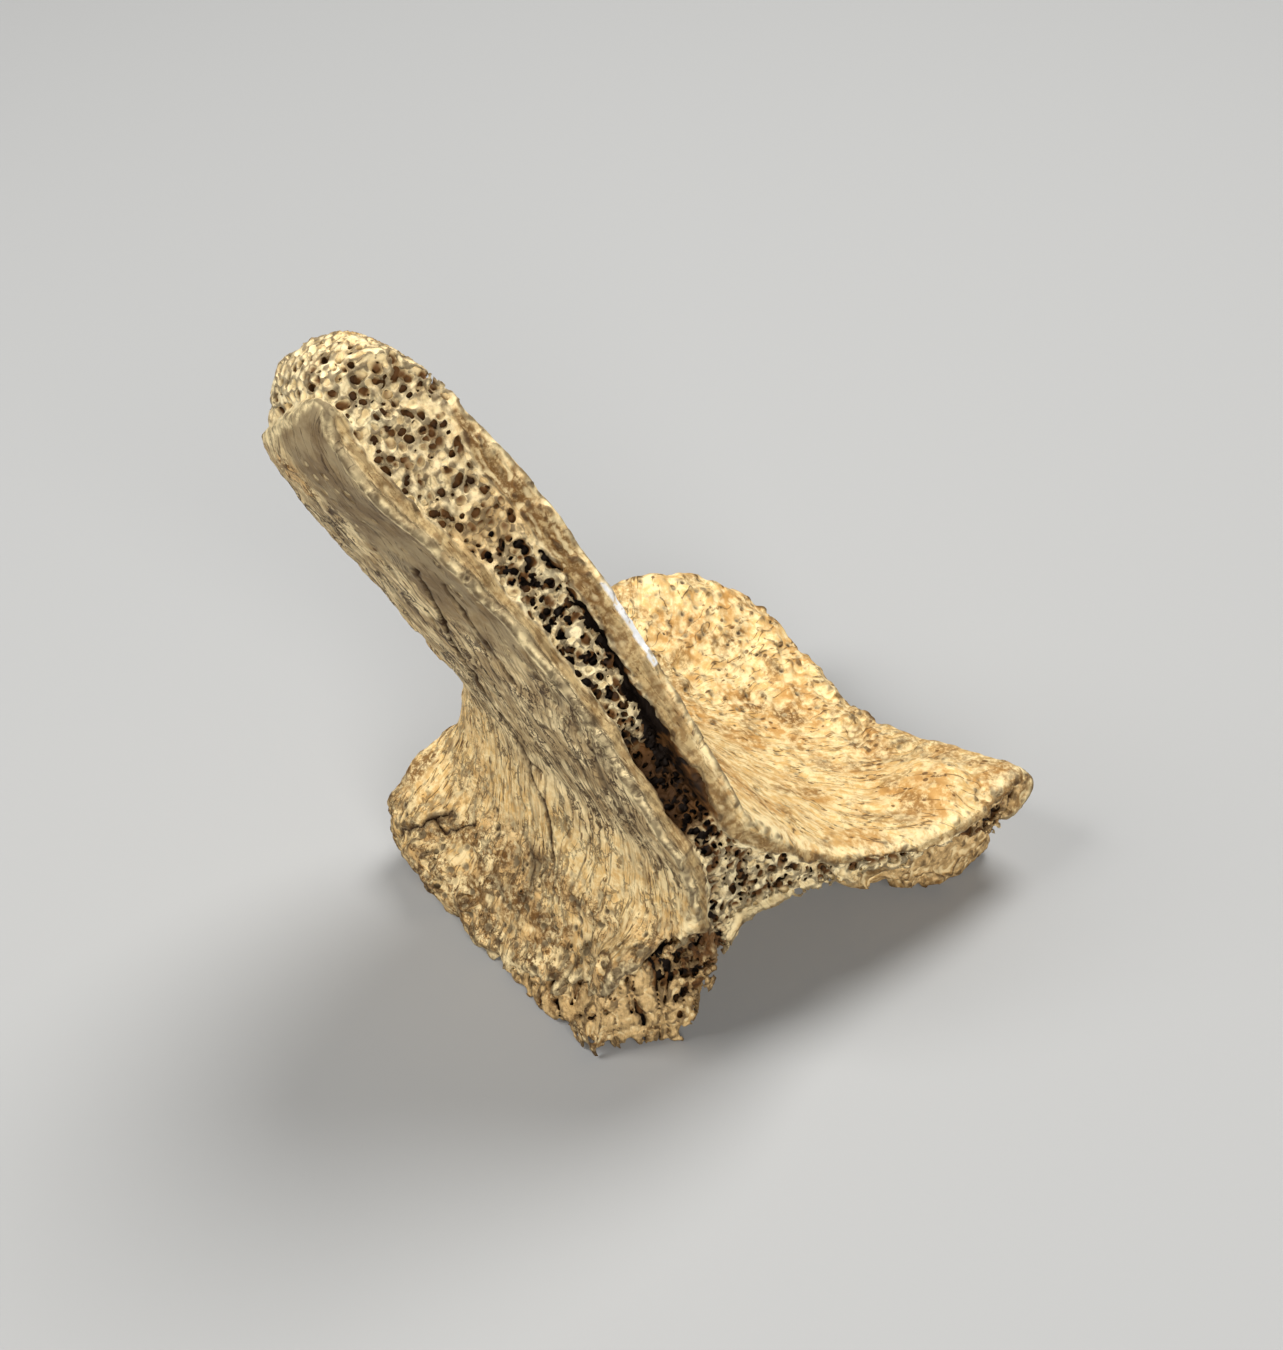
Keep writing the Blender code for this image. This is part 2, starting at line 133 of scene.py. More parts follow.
# Roots of the pedicles: middle and half lengths of each oval.
LEFT_ROOT = (
    ((-13.5, 6, -8), (4, 6)),
    ((-15, 7, -15), (5.2, 7.5)),
    ((-17.8, 9, -23), (5.8, 8.8)),
    ((-20.4, 11, -32), (4.8, 8.2)),
)
LEFT_ROOT_TURN = radians(38)
RIGHT_ROOT = (
    ((23.8, 9, -26), (12, 7)),
    ((24.6, 9.2, -31.8), (12.4, 7.4)),
    ((29, 10.5, -37.5), (10.4, 7.8)),
    ((29.6, 11.5, -42.5), (8.4, 7.2)),
    ((30, 13, -49), (4.6, 5.6)),
)
RIGHT_ROOT_TURN = radians(-12)
ROOT_SIDES = 12
ROOT_FULLNESS = 0.8
# How the bodies are rounded and joined: subdivisions, voxels, turns and strength of smoothing.
ROUNDING = 2
VOXEL = 0.9
SMOOTH_TURNS = 12
SMOOTH_FACTOR = 0.5
# Thickness of the dense bone: on the blade, the right lamina, its underside at its left, its right
# and far inside, and on the left lamina. Below 0 the spongy bone is bare: along the break of the
# right lamina, at the worn tip and on both roots.
BLADE_WALL = 2.7
RIGHT_WALL = 1.9
UNDERSIDE_WALLS = (0.3, 1.6, 2.4)
LEFT_WALL = 1.1
BARE_BAND = -0.2
BARE_TIP = -0.9
BARE_ROOT = -0.3
# Width of the spongy bone's cells: in general, in the left leg, high in the blade.
CELL = 1.16
LEG_CELL = 0.95
HIGH_CELL = 1.12
# Depth of each kind of fine relief.
WRINKLE_DEPTH = 0.14
LINE_DEPTH = 0.34
PIT_DEPTH = 0.5
SWELL_DEPTH = 0.5
GRAIN_DEPTH = 0.22
LEAF_DEPTH = 0.21
CRACK_DEPTH = 0.35
CRATER_DEPTH = 0.6
DENT_DEPTH = 0.5
# Broken surface, and how it runs back at both sides.
BREAK_ROUGH = 0.5
BREAK_GRAIN = 3.2
BREAK_FRACTAL = (0.8, 2.1, 2)
LEFT_BREAK_START = -7
LEFT_BREAK_SLOPE = 0.55
RIGHT_BREAK_START = 33
RIGHT_BREAK_SLOPE = 0.32
# Split between the right wall and the spongy core: height, distance inside the right face, half
# width, depth.
CREVICE = (
    (3, 3, 0.3, 1),
    (9, 3.4, 1.9, 5),
    (16, 3.6, 2.1, 6.5),
    (24, 2.9, 1, 5),
    (36, 2.6, 0.7, 3.5),
    (47, 2.4, 0.3, 1.5),
)

# Grid of distances: its step, room round the bone, front end, and how many steps to each side of
# the outer surface it is filled.
STEP = 0.25
MARGIN = 1.2
FRONT_Y = -2.4
BAND_OUTSIDE = 8.0
BAND_INSIDE = 26.0
# How deep pores and the hollow go, how near to the surface the fine relief is worked, and the
# height over the floor at which the bone is cut flat.
PORE_DEPTH = 2.8
HOLLOW_DEPTH = 3
SKIN_BAND = 1.4
FLOOR_GAP = 0.05
# Heights z: the break is deeper between the first two and under the third, and bone away from the
# break is unworn between the last two.
HOLLOW_SPAN = (1, 23)
LOW_BREAK_Z = -20
UNWORN_SPAN = (-6, 50)
# Side of a random table, points worked on at a time, threads, and cells in a tile of the map.
RANDOM_SIDE = 64
SLICE = 60000
THREADS = 4
MAP_TILE = 12

# Pieces: the solids' parting planes.
BLADE_FLOOR_Z = 6.5
ARTICULAR_Y = 41
LEFT_SLAB = ((-17.5, 8, -23), (13, 17), radians(-35))
RIGHT_SLAB = ((26.5, 10, -35.3), (17, 18), radians(28))


def read_table(table, station):
    """Read every column of a table between its stations."""
    stations, *rows = zip(*table)
    return [np.interp(station, stations, row) for row in rows]


def signed_power(value, power):
    """A power under 1 fills an oval's corners out."""
    return abs(value) ** power * (1 if value >= 0 else -1)


def modifier(thing, kind, **settings):
    made = thing.modifiers.new(kind, kind)
    for name, value in settings.items():
        setattr(made, name, value)


def add_object(name, data, collection=None):
    thing = bpy.data.objects.new(name, data)
    (collection or SCENE.collection).objects.link(thing)
    return thing


def loft(name, rings, collection=None):
    """A closed body through rings of equal count, rounded by subdivision."""
    bm = bmesh.new()
    rows = [[bm.verts.new(p) for p in ring] for ring in rings]
    count = len(rows[0])
    for low, high in zip(rows, rows[1:]):
        for i in range(count):
            j = (i + 1) % count
            bm.faces.new((low[i], low[j], high[j], high[i]))
    bm.faces.new(rows[0][::-1])
    bm.faces.new(rows[-1])
    bmesh.ops.recalc_face_normals(bm, faces=bm.faces)
    mesh = bpy.data.meshes.new(name)
    bm.to_mesh(mesh)
    bm.free()
    thing = add_object(name, mesh, collection)
    modifier(thing, "SUBSURF", levels=ROUNDING)
    return thing


def front_y(z):
    """Distance of the blade's broken front edge at height z."""
    return np.maximum(0, z - LEAN_START) * tan(BLADE_LEAN)


def blade_ring(z):
    """Flat oval round the blade at height z, squarer in front than behind."""
    back, left_front, right_front, left_back, right_back = read_table(BLADE, z)
    edge = front_y(z)
    front = edge - BLADE_OVERSHOOT
    middle, half = (front + back) / 2, (back - front) / 2
    ring = []
    for step in range(BLADE_SIDES):
        angle = 2 * pi * (step + 0.5) / BLADE_SIDES
        y = middle + half * signed_power(sin(angle), EDGE_FULLNESS)
        share = max(0, (y - edge) / (back - edge))
        left = blend(left_front, left_back, share)
        right = blend(right_front, right_back, share)
        across = signed_power(cos(angle), FACE_FULLNESS)
        ring.append(((left + right) / 2 + (right - left) / 2 * across, y, z))
    return ring


def lamina_side(keel, rim, apex_z, slope):
    """Upper outline of one lamina from keel to rim, and its lower one back to the apex."""
    rim_x, rim_z, hollow, swell, thick = rim
    top = []
    for share in TOP_SHARES:
        fall = share * (1 + hollow) / (share + hollow)
        lift = swell * sin(pi * share ** SWELL_LEAN)
        x = blend(keel[0], rim_x, share)
        top.append((x, keel[1] - (keel[1] - rim_z) * fall + lift))
    bottom = []
    for share in ROOF_SHARES:
        x = blend(APEX_X, rim_x, share)
        roof = max(apex_z - abs(x - APEX_X) * slope, rim_z - thick)
        above = np.interp(abs(x), [abs(p[0]) for p in top], [p[1] for p in top])
        bottom.append((x, min(roof, above - LAMINA_THICK)))
    return top, bottom


def lamina_ring(y):
    """Section across both laminae, an upturned V with its keel in the blade."""
    keel_z, keel_left, keel_right, apex_z, slope, notch = read_table(KEEL, y)
    slope = tan(radians(slope))
    right = lamina_side((keel_right, keel_z), read_table(RIGHT_RIM, y), apex_z, slope)
    left = lamina_side((keel_left, keel_z), read_table(LEFT_RIM, y), apex_z, slope)
    outline = right[0] + right[1] + [(APEX_X, apex_z)] + left[1][::-1] + left[0][::-1]
    return [(x, y - notch * max(0, 1 - (x / NOTCH_HALF) ** 2), z) for x, z in outline]


def root_rings(stations, turn):
    """Stump of a pedicle: ovals from inside the lamina down past its broken foot."""
    rings = []
    for middle, (half_x, half_y) in stations:
        ring = []
        for step in range(ROOT_SIDES):
            angle = 2 * pi * step / ROOT_SIDES
            across = half_x * signed_power(cos(angle), ROOT_FULLNESS)
            along = half_y * signed_power(sin(angle), ROOT_FULLNESS)
            x = middle[0] + across * cos(turn) - along * sin(turn)
            y = middle[1] + across * sin(turn) + along * cos(turn)
            ring.append((x, y, middle[2]))
        rings.append(ring)
    return rings


def whole_shape():
    """Points and triangles of the unbroken outer shape, as the solids have it."""
    pieces = bpy.data.collections.new("pieces")
    SCENE.collection.children.link(pieces)
    bone = loft("bone", [lamina_ring(y) for y in LAMINA_STATIONS])
    loft("blade", [blade_ring(row[0]) for row in BLADE], pieces)
    loft("left_root", root_rings(LEFT_ROOT, LEFT_ROOT_TURN), pieces)
    loft("right_root", root_rings(RIGHT_ROOT, RIGHT_ROOT_TURN), pieces)
    union = {"operation": "UNION", "operand_type": "COLLECTION", "solver": "EXACT"}
    modifier(bone, "BOOLEAN", collection=pieces, **union)
    modifier(bone, "REMESH", mode="VOXEL", voxel_size=VOXEL)
    modifier(bone, "SMOOTH", factor=SMOOTH_FACTOR, iterations=SMOOTH_TURNS)
    modifier(bone, "SUBSURF", levels=1)
    graph = bpy.context.evaluated_depsgraph_get()
    mesh = bpy.data.meshes.new_from_object(bone.evaluated_get(graph))
    mesh.calc_loop_triangles()
    points = np.empty(len(mesh.vertices) * 3, np.float32)
    mesh.vertices.foreach_get("co", points)
    corners = np.empty(len(mesh.loop_triangles) * 3, np.int32)
    mesh.loop_triangles.foreach_get("vertices", corners)
    for thing in [bone, *pieces.objects]:
        bpy.data.objects.remove(thing)
    bpy.data.collections.remove(pieces)
    return points.reshape(-1, 3), corners.reshape(-1, 3).astype(np.uint32)


def ramp(low, high, value):
    share = np.clip((value - low) / (high - low), 0, 1)
    return share * share * (3 - 2 * share)


def blend(a, b, share):
    return a + (b - a) * share


def column(*values):
    return np.array(values, np.float32)[:, None]


def away_from(p, place):
    return np.sqrt(((p - column(*place)) ** 2).sum(0))


def smooth_max(a, b, radius):
    """The larger of two distances, with the edge between them rounded."""
    return np.maximum(a, b) + np.maximum(radius - np.abs(a - b), 0) ** 2 / (4 * radius)


@lru_cache(maxsize=None)
def random_table(seed, columns=1):
    """Random numbers for each cell of a lattice that repeats."""
    return np.random.default_rng(seed).random((columns, RANDOM_SIDE ** 3), dtype=np.float32)


def lattice_rows(cell):
    """Where a cell's planes, rows and places start in a random table."""
    wrapped = cell & (RANDOM_SIDE - 1)
    return wrapped[0] * RANDOM_SIDE ** 2, wrapped[1] * RANDOM_SIDE, wrapped[2]


def lumps(points, seed):
    """Smooth random field from 0 to 1 whose lumps are about one unit across."""
    table = random_table(seed)[0]
    base = np.floor(points)
    share = points - base
    share = share * share * (3 - 2 * share)
    cell = base.astype(np.int32)
    plane, row, place = lattice_rows(cell)
    next_plane, next_row, next_place = lattice_rows(cell + 1)

    def along(start):
        low = table[start + place]
        return low + (table[start + next_place] - low) * share[2]

    def across(start):
        low = along(start + row)
        return low + (along(start + next_row) - low) * share[1]

    low = across(plane)
    return low + (across(next_plane) - low) * share[0]


def clouds(points, seed, layers=3):
    """Sum of ever finer lumps, from about 0 to 1."""
    total, weight, size = 0, 0, 1
    for layer in range(layers):
        total = total + lumps(points * size, seed + layer) / size
        weight += 1 / size
        size *= 2.03
    return total / weight


def waves(points, seed, layers=2):
    """Clouds from about -0.5 to 0.5."""
    return clouds(points, seed, layers) - 0.5


def scattered(points, seed, spread=0.8, wide=True):
    """Distance to the nearest and next of scattered points, one a unit, and its random number."""
    table = random_table(seed, 4)
    base = np.floor(points if wide else points - 0.5).astype(np.int32)
    first = np.full(points.shape[1], 9, np.float32)
    second = first.copy()
    mark = np.zeros(points.shape[1], np.float32)
    local = (points - base - (1 - spread) / 2).astype(np.float32)
    for step in product((-1, 0, 1) if wide else (0, 1), repeat=3):
        index = sum(lattice_rows(base + np.array(step, np.int32)[:, None]))
        away = sum((local[i] - step[i] - spread * table[i][index]) ** 2 for i in range(3))
        closer = away < first
        second = np.where(closer, first, np.minimum(second, away))
        mark = np.where(closer, table[3][index], mark)
        first = np.minimum(first, away)
    return np.sqrt(first), np.sqrt(second), mark


def near_line(points, line):
    """Distance of each point to a line through the given places."""
    best = np.full(points.shape[1], 99, np.float32)
    along = best.copy()
    for number, (a, b) in enumerate(zip(line, line[1:])):
        start = column(*a)
        reach = column(*b) - start
        share = np.clip(((points - start) * reach).sum(0) / (reach ** 2).sum(), 0, 1)
        away = np.sqrt(((points - start - reach * share) ** 2).sum(0))
        along = np.where(away < best, (number + share) / (len(line) - 1), along)
        best = np.minimum(best, away)
    return best, along


def side_by_side(work, *rows):
    """Run a function on slices of its rows in several threads, and join what it returns."""
    count = rows[0].shape[-1]
    slices = [slice(start, start + SLICE) for start in range(0, count, SLICE)]
    with ThreadPoolExecutor(THREADS) as pool:
        parts = list(pool.map(lambda part: work(*(row[..., part] for row in rows)), slices))
    return [np.concatenate(row) for row in zip(*parts)]


def turned(points, axis, angle):
    return np.array(Matrix.Rotation(angle, 3, axis), np.float32) @ points


class Grid:
    """The block of distances around the bone, and its places."""

    def __init__(self, low, high):
        self.first = np.floor(np.array(low) / STEP).astype(int)
        last = np.ceil(np.array(high) / STEP).astype(int)
        self.shape = tuple(last - self.first + 1)
        self.low = (self.first * STEP).astype(np.float32)
        self.axes = [
            self.low[axis] + STEP * np.arange(self.shape[axis], dtype=np.float32)
            for axis in range(3)
        ]

    def places(self, chosen):
        """Bone coordinates of chosen cells, three rows."""
        return np.stack([self.axes[axis][chosen[axis]] for axis in range(3)])

    def sample(self, block, points):
        """Read a block between its cells."""
        spot = (points - self.low[:, None]) / STEP
        spot = np.clip(spot, 0, np.array(self.shape)[:, None] - 1.001)
        base = np.floor(spot).astype(np.int32)
        share = (spot - base).astype(np.float32)
        total = np.zeros(points.shape[1], np.float32)
        for corner in range(8):
            offset = np.array([[corner & 1], [corner >> 1 & 1], [corner >> 2 & 1]], np.int32)
            weight = np.where(offset == 1, share, 1 - share).prod(axis=0)
            cell = base + offset
            total += weight * block[cell[0], cell[1], cell[2]]
        return total


# Cracks: axes they are drawn in, half width, depth, places along each.
CRACKS = (
    ((1, 2), 0.44, 1.3, ((24.4, 41.6), (25.7, 38.2), (27.3, 33.1), (29.4, 27.6), (30.4, 23.2),
                         (31, 18.2), (31.7, 13.1), (32, 8.2), (31.9, 5.7), (30, 3.4), (27.3, 2.2))),
    ((1, 2), 0.24, 0.9, ((20.9, 39.9), (21.1, 37.2), (20.8, 32.5), (20.7, 29.2), (20.1, 26.6),
                         (19.4, 23.7))),
    ((1, 2), 0.30, 1.1, ((32.1, 4.7), (30.2, 3.4), (29.4, 0.3), (27.7, -1.8), (26, -3.5),
                         (25.5, -5.8), (24.3, -8.1))),
    ((0, 1), 0.17, 0.9, ((-23.4, 49.6), (-21.8, 47.3), (-19.5, 45.2), (-18.5, 44.5), (-16.9, 43.5))),
    ((0, 1), 0.15, 0.8, ((-19.5, 45.2), (-19.2, 42.9), (-17.3, 41.2), (-15.8, 39.8))),
)
# Lip of dense bone over the fibrous leg: distance y and height z of places along it.
LIP = ((4, -8.2), (7, -12.6), (11, -15.2), (16, -17.4), (20, -18.4), (27, -19.6))
# Upper edge of the stump under the right lamina, x and z, and how far it stands back there, at its
# left end and elsewhere.
STUMP_TOP = ((14, -25.6), (19, -26.8), (27.5, -30.6), (34, -37), (38, -42), (44, -46))
STUMP_BACK = (7, 4.4)
# Upper edge of the spongy bone under the right lamina's broken rim: x and z.
BAND_FOAM = ((4, -11), (12.6, -18.2), (19.5, -24.3), (24, -27.5))
# Flaky patch on the blade's left face: place, radius.
FLAKY = ((-9.6, 37, 52), 5)
# Corner filled beside the left root: ends of its middle line, its radius, that of its joins, and
# how far beyond its ends it is worked on.
GUSSET = ((-4.4, 3.4, -11.2), (-11.2, 4.6, -17.2))
GUSSET_RADIUS = 3.3
GUSSET_JOIN = 1.2
GUSSET_REACH = 5
# How far the leg's fibres shift in x and y for each millimetre up.
LEG_SLANT = (0.29, -0.21)
# A small crater on the plate above the lip: place, radius.
CRATER = ((-17.8, 8.8, -9.9), 1.25)
# Brown stains: place and radius.
STAINS = (
    ((-16.4, 51.4, -5.6), 2.8), ((-14, 51, -5.2), 2), ((-18.5, 28.6, -13.3), 3.4),
    ((-18.5, 24.5, -13.5), 2.2), ((-17.5, 19, -12.8), 1.6), ((26.7, 31.8, -26.4), 3.4),
    ((-15.8, 33, -10.5), 2.2), ((24, 35, -23), 2.6), ((-21.5, 36, -14), 2.4),
)
# Blank patch on the blade's right face: its middle, as distance behind the break and height z, and
# its half sizes.
PATCH = ((1.2, 28.6), (2, 5.4))
# Where the fibres of the right lamina fan out from.
FAN = (1, 34)


def break_map(grid):
    """Distance y of the broken surface over x and z."""
    xs, zs = grid.axes[0], grid.axes[2]
    x, z = np.meshgrid(xs, zs, indexing="ij")
    y = front_y(z)
    below = z < LEAN_START
    y = y + below * np.maximum(0, LEFT_BREAK_START - x) * LEFT_BREAK_SLOPE
    y = y + below * np.maximum(0, x - RIGHT_BREAK_START) * RIGHT_BREAK_SLOPE
    rough = [
        [noise.fractal(Vector((a, 0, b)) / BREAK_GRAIN, *BREAK_FRACTAL) for b in zs.tolist()]
        for a in xs.tolist()
    ]
    return (y + BREAK_ROUGH * np.array(rough)).astype(np.float32)


def crevice_distance(p):
    """Distance to the split beside the right wall, below 0 inside it."""
    inside, half, depth = read_table(CREVICE, p[2])
    right = read_table(BLADE, p[2])[2]
    jag = waves(p / 1.5, 71, 3) * 2.4
    half = half * (0.22 + 0.75 * lumps(p / 2.3, 75)) * blend(1, 0.62, ramp(14, 22, p[2]))
    x = (p[0] - (right - inside - 1.3) + jag) / half
    y = (p[1] - front_y(p[2])) / depth
    ends = np.minimum(p[2] - CREVICE[0][0], 39.5 - p[2])
    return np.maximum((np.sqrt(x * x + y * y) - 1) * half, -ends)


def foam_distance(p, size, seed, stretch=None):
    """Distance to the open cells of spongy bone, below 0 in a cell or in a window between two."""
    q = p.copy()
    for axis in range(3):
        q[axis] += waves(p / 2.1, seed + 5 + axis, 1) * 0.9
    if stretch is not None:
        q = q * stretch
    first, second, mark = scattered(q / size, seed)
    wall = 0.05 + 0.19 * lumps(p / 1.9, seed + 9)
    cell = np.maximum(first - 0.60 - 0.3 * mark, (wall - (second - first)) / 2)
    window = first - 0.42 - 0.15 * mark
    return np.minimum(cell, window) * size


def wall_thickness(p, lean_x, lean_z, back):
    """Thickness of the dense outer bone, by place and by the way that its surface faces."""
    x, _, z = p
    side = ramp(-0.4, 0.4, lean_x)
    wall = BLADE_WALL + 0.5 * side * (1 - 3.4 * ramp(50, 57, z))
    under = ramp(-0.55, -0.05, lean_z)
    wall = blend(wall, RIGHT_WALL, ramp(3, -3, z) * ramp(3, 7, x))
    near, far, inner = UNDERSIDE_WALLS
    underside = blend(blend(near, far, ramp(28, 33, x)), inner, ramp(-2.5, -4.5, back))
    wall = blend(underside, wall, under)
    for other, share in (
        (BARE_BAND, band_foam(p) * ramp(-4, -3, back)),
        (LEFT_WALL, ramp(-6.5, -9.5, x) * ramp(6, 3, z)),
        (BARE_TIP, worn_share(p)),
        (BARE_ROOT, ramp(-31.5, -34.5, z) * ramp(8, 14, x) * ramp(37, 34, x)),
        (BARE_ROOT, leg_share(p)),
    ):
        wall = blend(wall, other, share)
    return wall


def band_foam(p):
    """How much a place belongs to the spongy bone along the underside of the right lamina."""
    x, _, z = p
    line = np.interp(x, *zip(*BAND_FOAM)) + waves(p / 2.3, 45, 1) * 1.2
    return ramp(0, 0.5, line - z) * ramp(3, 5, x) * ramp(22, 20, x)


def worn_share(p):
    """How far the dense wall is worn away at the tip, down a slope on its left side."""
    x, y, z = p
    right = ramp(-5.5, -1, x)
    line = blend(65 - 0.64 * (y - 26.5), 55.5, right)
    line = line + waves(p / 2.4, 41, 3) * blend(1.6, 5, right)
    return ramp(0, blend(0.8, 3, right), z - line)


def lip_drop(p):
    """How far a place is under the lip of the plate."""
    return np.interp(p[1], *zip(*LIP)) + waves(p / 1.9, 51, 3) * 3 - p[2]


def leg_places(p):
    """Places with z drawn along the left root's own direction."""
    x, y, z = p
    return np.stack([x - LEG_SLANT[0] * z, y - LEG_SLANT[1] * z, z])


def leg_share(p):
    """How much a place belongs to the fibrous leg under the left lamina's lip."""
    inner = ramp(-4, -7, p[0]) * ramp(29, 26, p[1])
    return ramp(0, 0.5, lip_drop(p)) * inner


def left_share(p):
    """1 on the bone's left side, 0 on its right."""
    return ramp(1.5, -1.5, p[0])


def sleek_share(p):
    """How much a place belongs to the smooth upper part of the blade's left face."""
    height = p[2] + 5 * waves(p / 5, 341)
    return ramp(27, 36, height) * left_share(p) * ramp(17, 12, p[1] - front_y(p[2]))


def crack_gap(p, out):
    """Distance to the named cracks, below 0 inside one."""
    gap = np.full(p.shape[1], 9, np.float32)
    jag = p.copy()
    for axis in range(3):
        jag[axis] += waves(p / 1.7, 301 + 7 * axis, 3) * 1.5
    for axes, half, deep, line in CRACKS:
        q = p[list(axes)]
        low, high = np.min(line, 0) - 2, np.max(line, 0) + 2
        inside = ((q > low[:, None]) & (q < high[:, None])).all(0) & (p[0] < -1)
        away, along = near_line(jag[list(axes)][:, inside], line)
        width = half * (0.4 + 0.6 * np.sin(pi * np.clip(along, 0.06, 0.94)))
        width = width * (0.6 + 0.7 * lumps(p[:, inside] / 2.2, 331))
        near = np.maximum(away - width, -out[inside] - deep)
        gap[inside] = np.minimum(gap[inside], near)
    return gap


def stump_share(p):
    """How much a place belongs to the stump under the right lamina's broken edge."""
    x, _, z = p
    edge = np.interp(x, *zip(*STUMP_TOP)) + waves(p / 2.4, 61) * 1.6
    return ramp(0, 0.8, edge - z) * ramp(11, 13, x)


def on_skin(out, back):
    """1 on the bone's own outer surface, 0 on its broken walls."""
    return np.maximum(ramp(-1.3, -0.7, out), ramp(-1, -1.8, back))


def fibre_places(p, face):
    """Places drawn out along the bone's fibres, about a millimetre a unit across them."""
    sway = waves(p / 9, 91, 1) * 4 + waves(p / 3.1, 92, 1) * 0.9
    left = np.stack([p[0] * 0.10, p[1] + sway, p[2] * 0.09])
    x, y = p[0] - FAN[0], FAN[1] - p[1]
    fan = np.stack([np.hypot(x, y) * 0.16, np.arctan2(y, x) * 24 + 0.5 * sway, p[2] * 0.12])
    wall = np.stack([p[0] + 0.4 * sway, p[1] * 0.3, p[2] * 0.14])
    leg = leg_places(p) * column(1.3, 1.3, 0.18)
    q = np.where(p[0] < 0.5, left, fan)
    q = np.where((p[0] > 0.5) & (p[2] > 9), left, q)
    q = np.where(face < 0.5, wall, q)
    return np.where(leg_share(p) > 0.5, leg, q).astype(np.float32)


def skin_relief(p, face, out):
    """Depth of the dense bone's fine relief in millimetres, how dark its grooves are, and how much
    of it is rough or dented."""
    x, y, z = p
    left = left_share(p)
    fibre = fibre_places(p, face)
    lobe = ramp(37, 43, y) * left
    knob = ramp(30, 38, y) * (1 - left) * ramp(6, 12, x)
    plate = ramp(-5, -10, z) * left
    fine = lumps(fibre * column(1.4, 1.6, 1.4), 101)
    wrinkle = ramp(0.12, 0, np.abs(fine - 0.5)) * ramp(0.35, 0.65, lumps(p / 5.5, 111))
    wrinkle = wrinkle * blend(0.35, 0.9, left) * (1 - 0.7 * lobe) * (1 - 0.6 * knob)
    sleek = sleek_share(p)
    wrinkle = wrinkle * (1 - 0.8 * sleek)
    second = lumps(fibre * column(0.9, 0.55, 0.9), 121)
    line = ramp(0.035, 0, np.abs(second - 0.48)) * ramp(0.42, 0.6, lumps(p / 4.2, 131))
    line = line * blend(0.3, 1, left) * (1 - 0.5 * lobe) * (1 - 0.8 * sleek) * face
    first, _, mark = scattered(p / column(1.9, 1.5, 1.9), 141, wide=False)
    crowd = ramp(0.40, 0.66, lumps(p / 7, 151))
    crowd = np.maximum.reduce([crowd, 0.9 * knob, 0.75 * plate])
    keen = ramp(0.30, 0.80, mark * (0.45 + 0.8 * crowd))
    pit = ramp(0.34, 0.12, first) * keen
    away, _, mark = scattered(p / column(1.9, 1.5, 1.7), 145, wide=False)
    dent = ramp(0.42, 0.30, away + 0.4 * waves(p / 0.8, 147))
    dent = dent * (mark > 0.55) * plate * face
    wide = waves(p / 5, 161)
    grain = waves(p / 1.1, 171)
    bumps = waves(p / 2.4, 175)
    flaky = ramp(1, 0.5, away_from(p, FLAKY[0]) / FLAKY[1])
    rough = ramp(0.34, 0.56, clouds(p / 4, 181, 2))
    rough = np.maximum(rough * np.maximum(plate, 0.5 * lobe), flaky)
    leaf = clouds(p / 3.2, 191, 2) * 9
    leaf = np.floor(leaf) + ramp(0.75, 1, leaf - np.floor(leaf))
    leaf = (leaf - 4.5) * LEAF_DEPTH * (0.12 + rough) * face
    crack = ramp(0.22, -0.02, crack_gap(p, out))
    depth = WRINKLE_DEPTH * wrinkle + LINE_DEPTH * line + PIT_DEPTH * pit * face
    depth = depth + SWELL_DEPTH * wide + GRAIN_DEPTH * grain
    margin = ramp(-19, -23, x) * left
    right = (1 - left) * ramp(9, 12, x)
    uneven = bumps * (1.7 * knob + 1.1 * plate + 1.2 * margin + 0.7 * right + 0.5 * lobe)
    ring = away_from(p, CRATER[0]) - CRATER[1]
    crater = np.where(ring < 0, 1, -0.6) * ramp(CRATER[1], 0, np.abs(ring))
    depth = depth + leaf + CRACK_DEPTH * crack + uneven * face + CRATER_DEPTH * crater
    depth = depth + DENT_DEPTH * dent
    groove = np.maximum.reduce([0.45 * wrinkle, 0.8 * line, 0.95 * pit * face, crack, 0.8 * dent])
    return depth, groove, rough, dent


def hollow_share(p):
    """How much a place belongs to the hollow behind the break, low in the blade."""
    z = p[2] + 4 * waves(p / 2.6, 215)
    return ramp(19, 12.5, z) * ramp(3, 6, z) * ramp(12, 7, p[0])


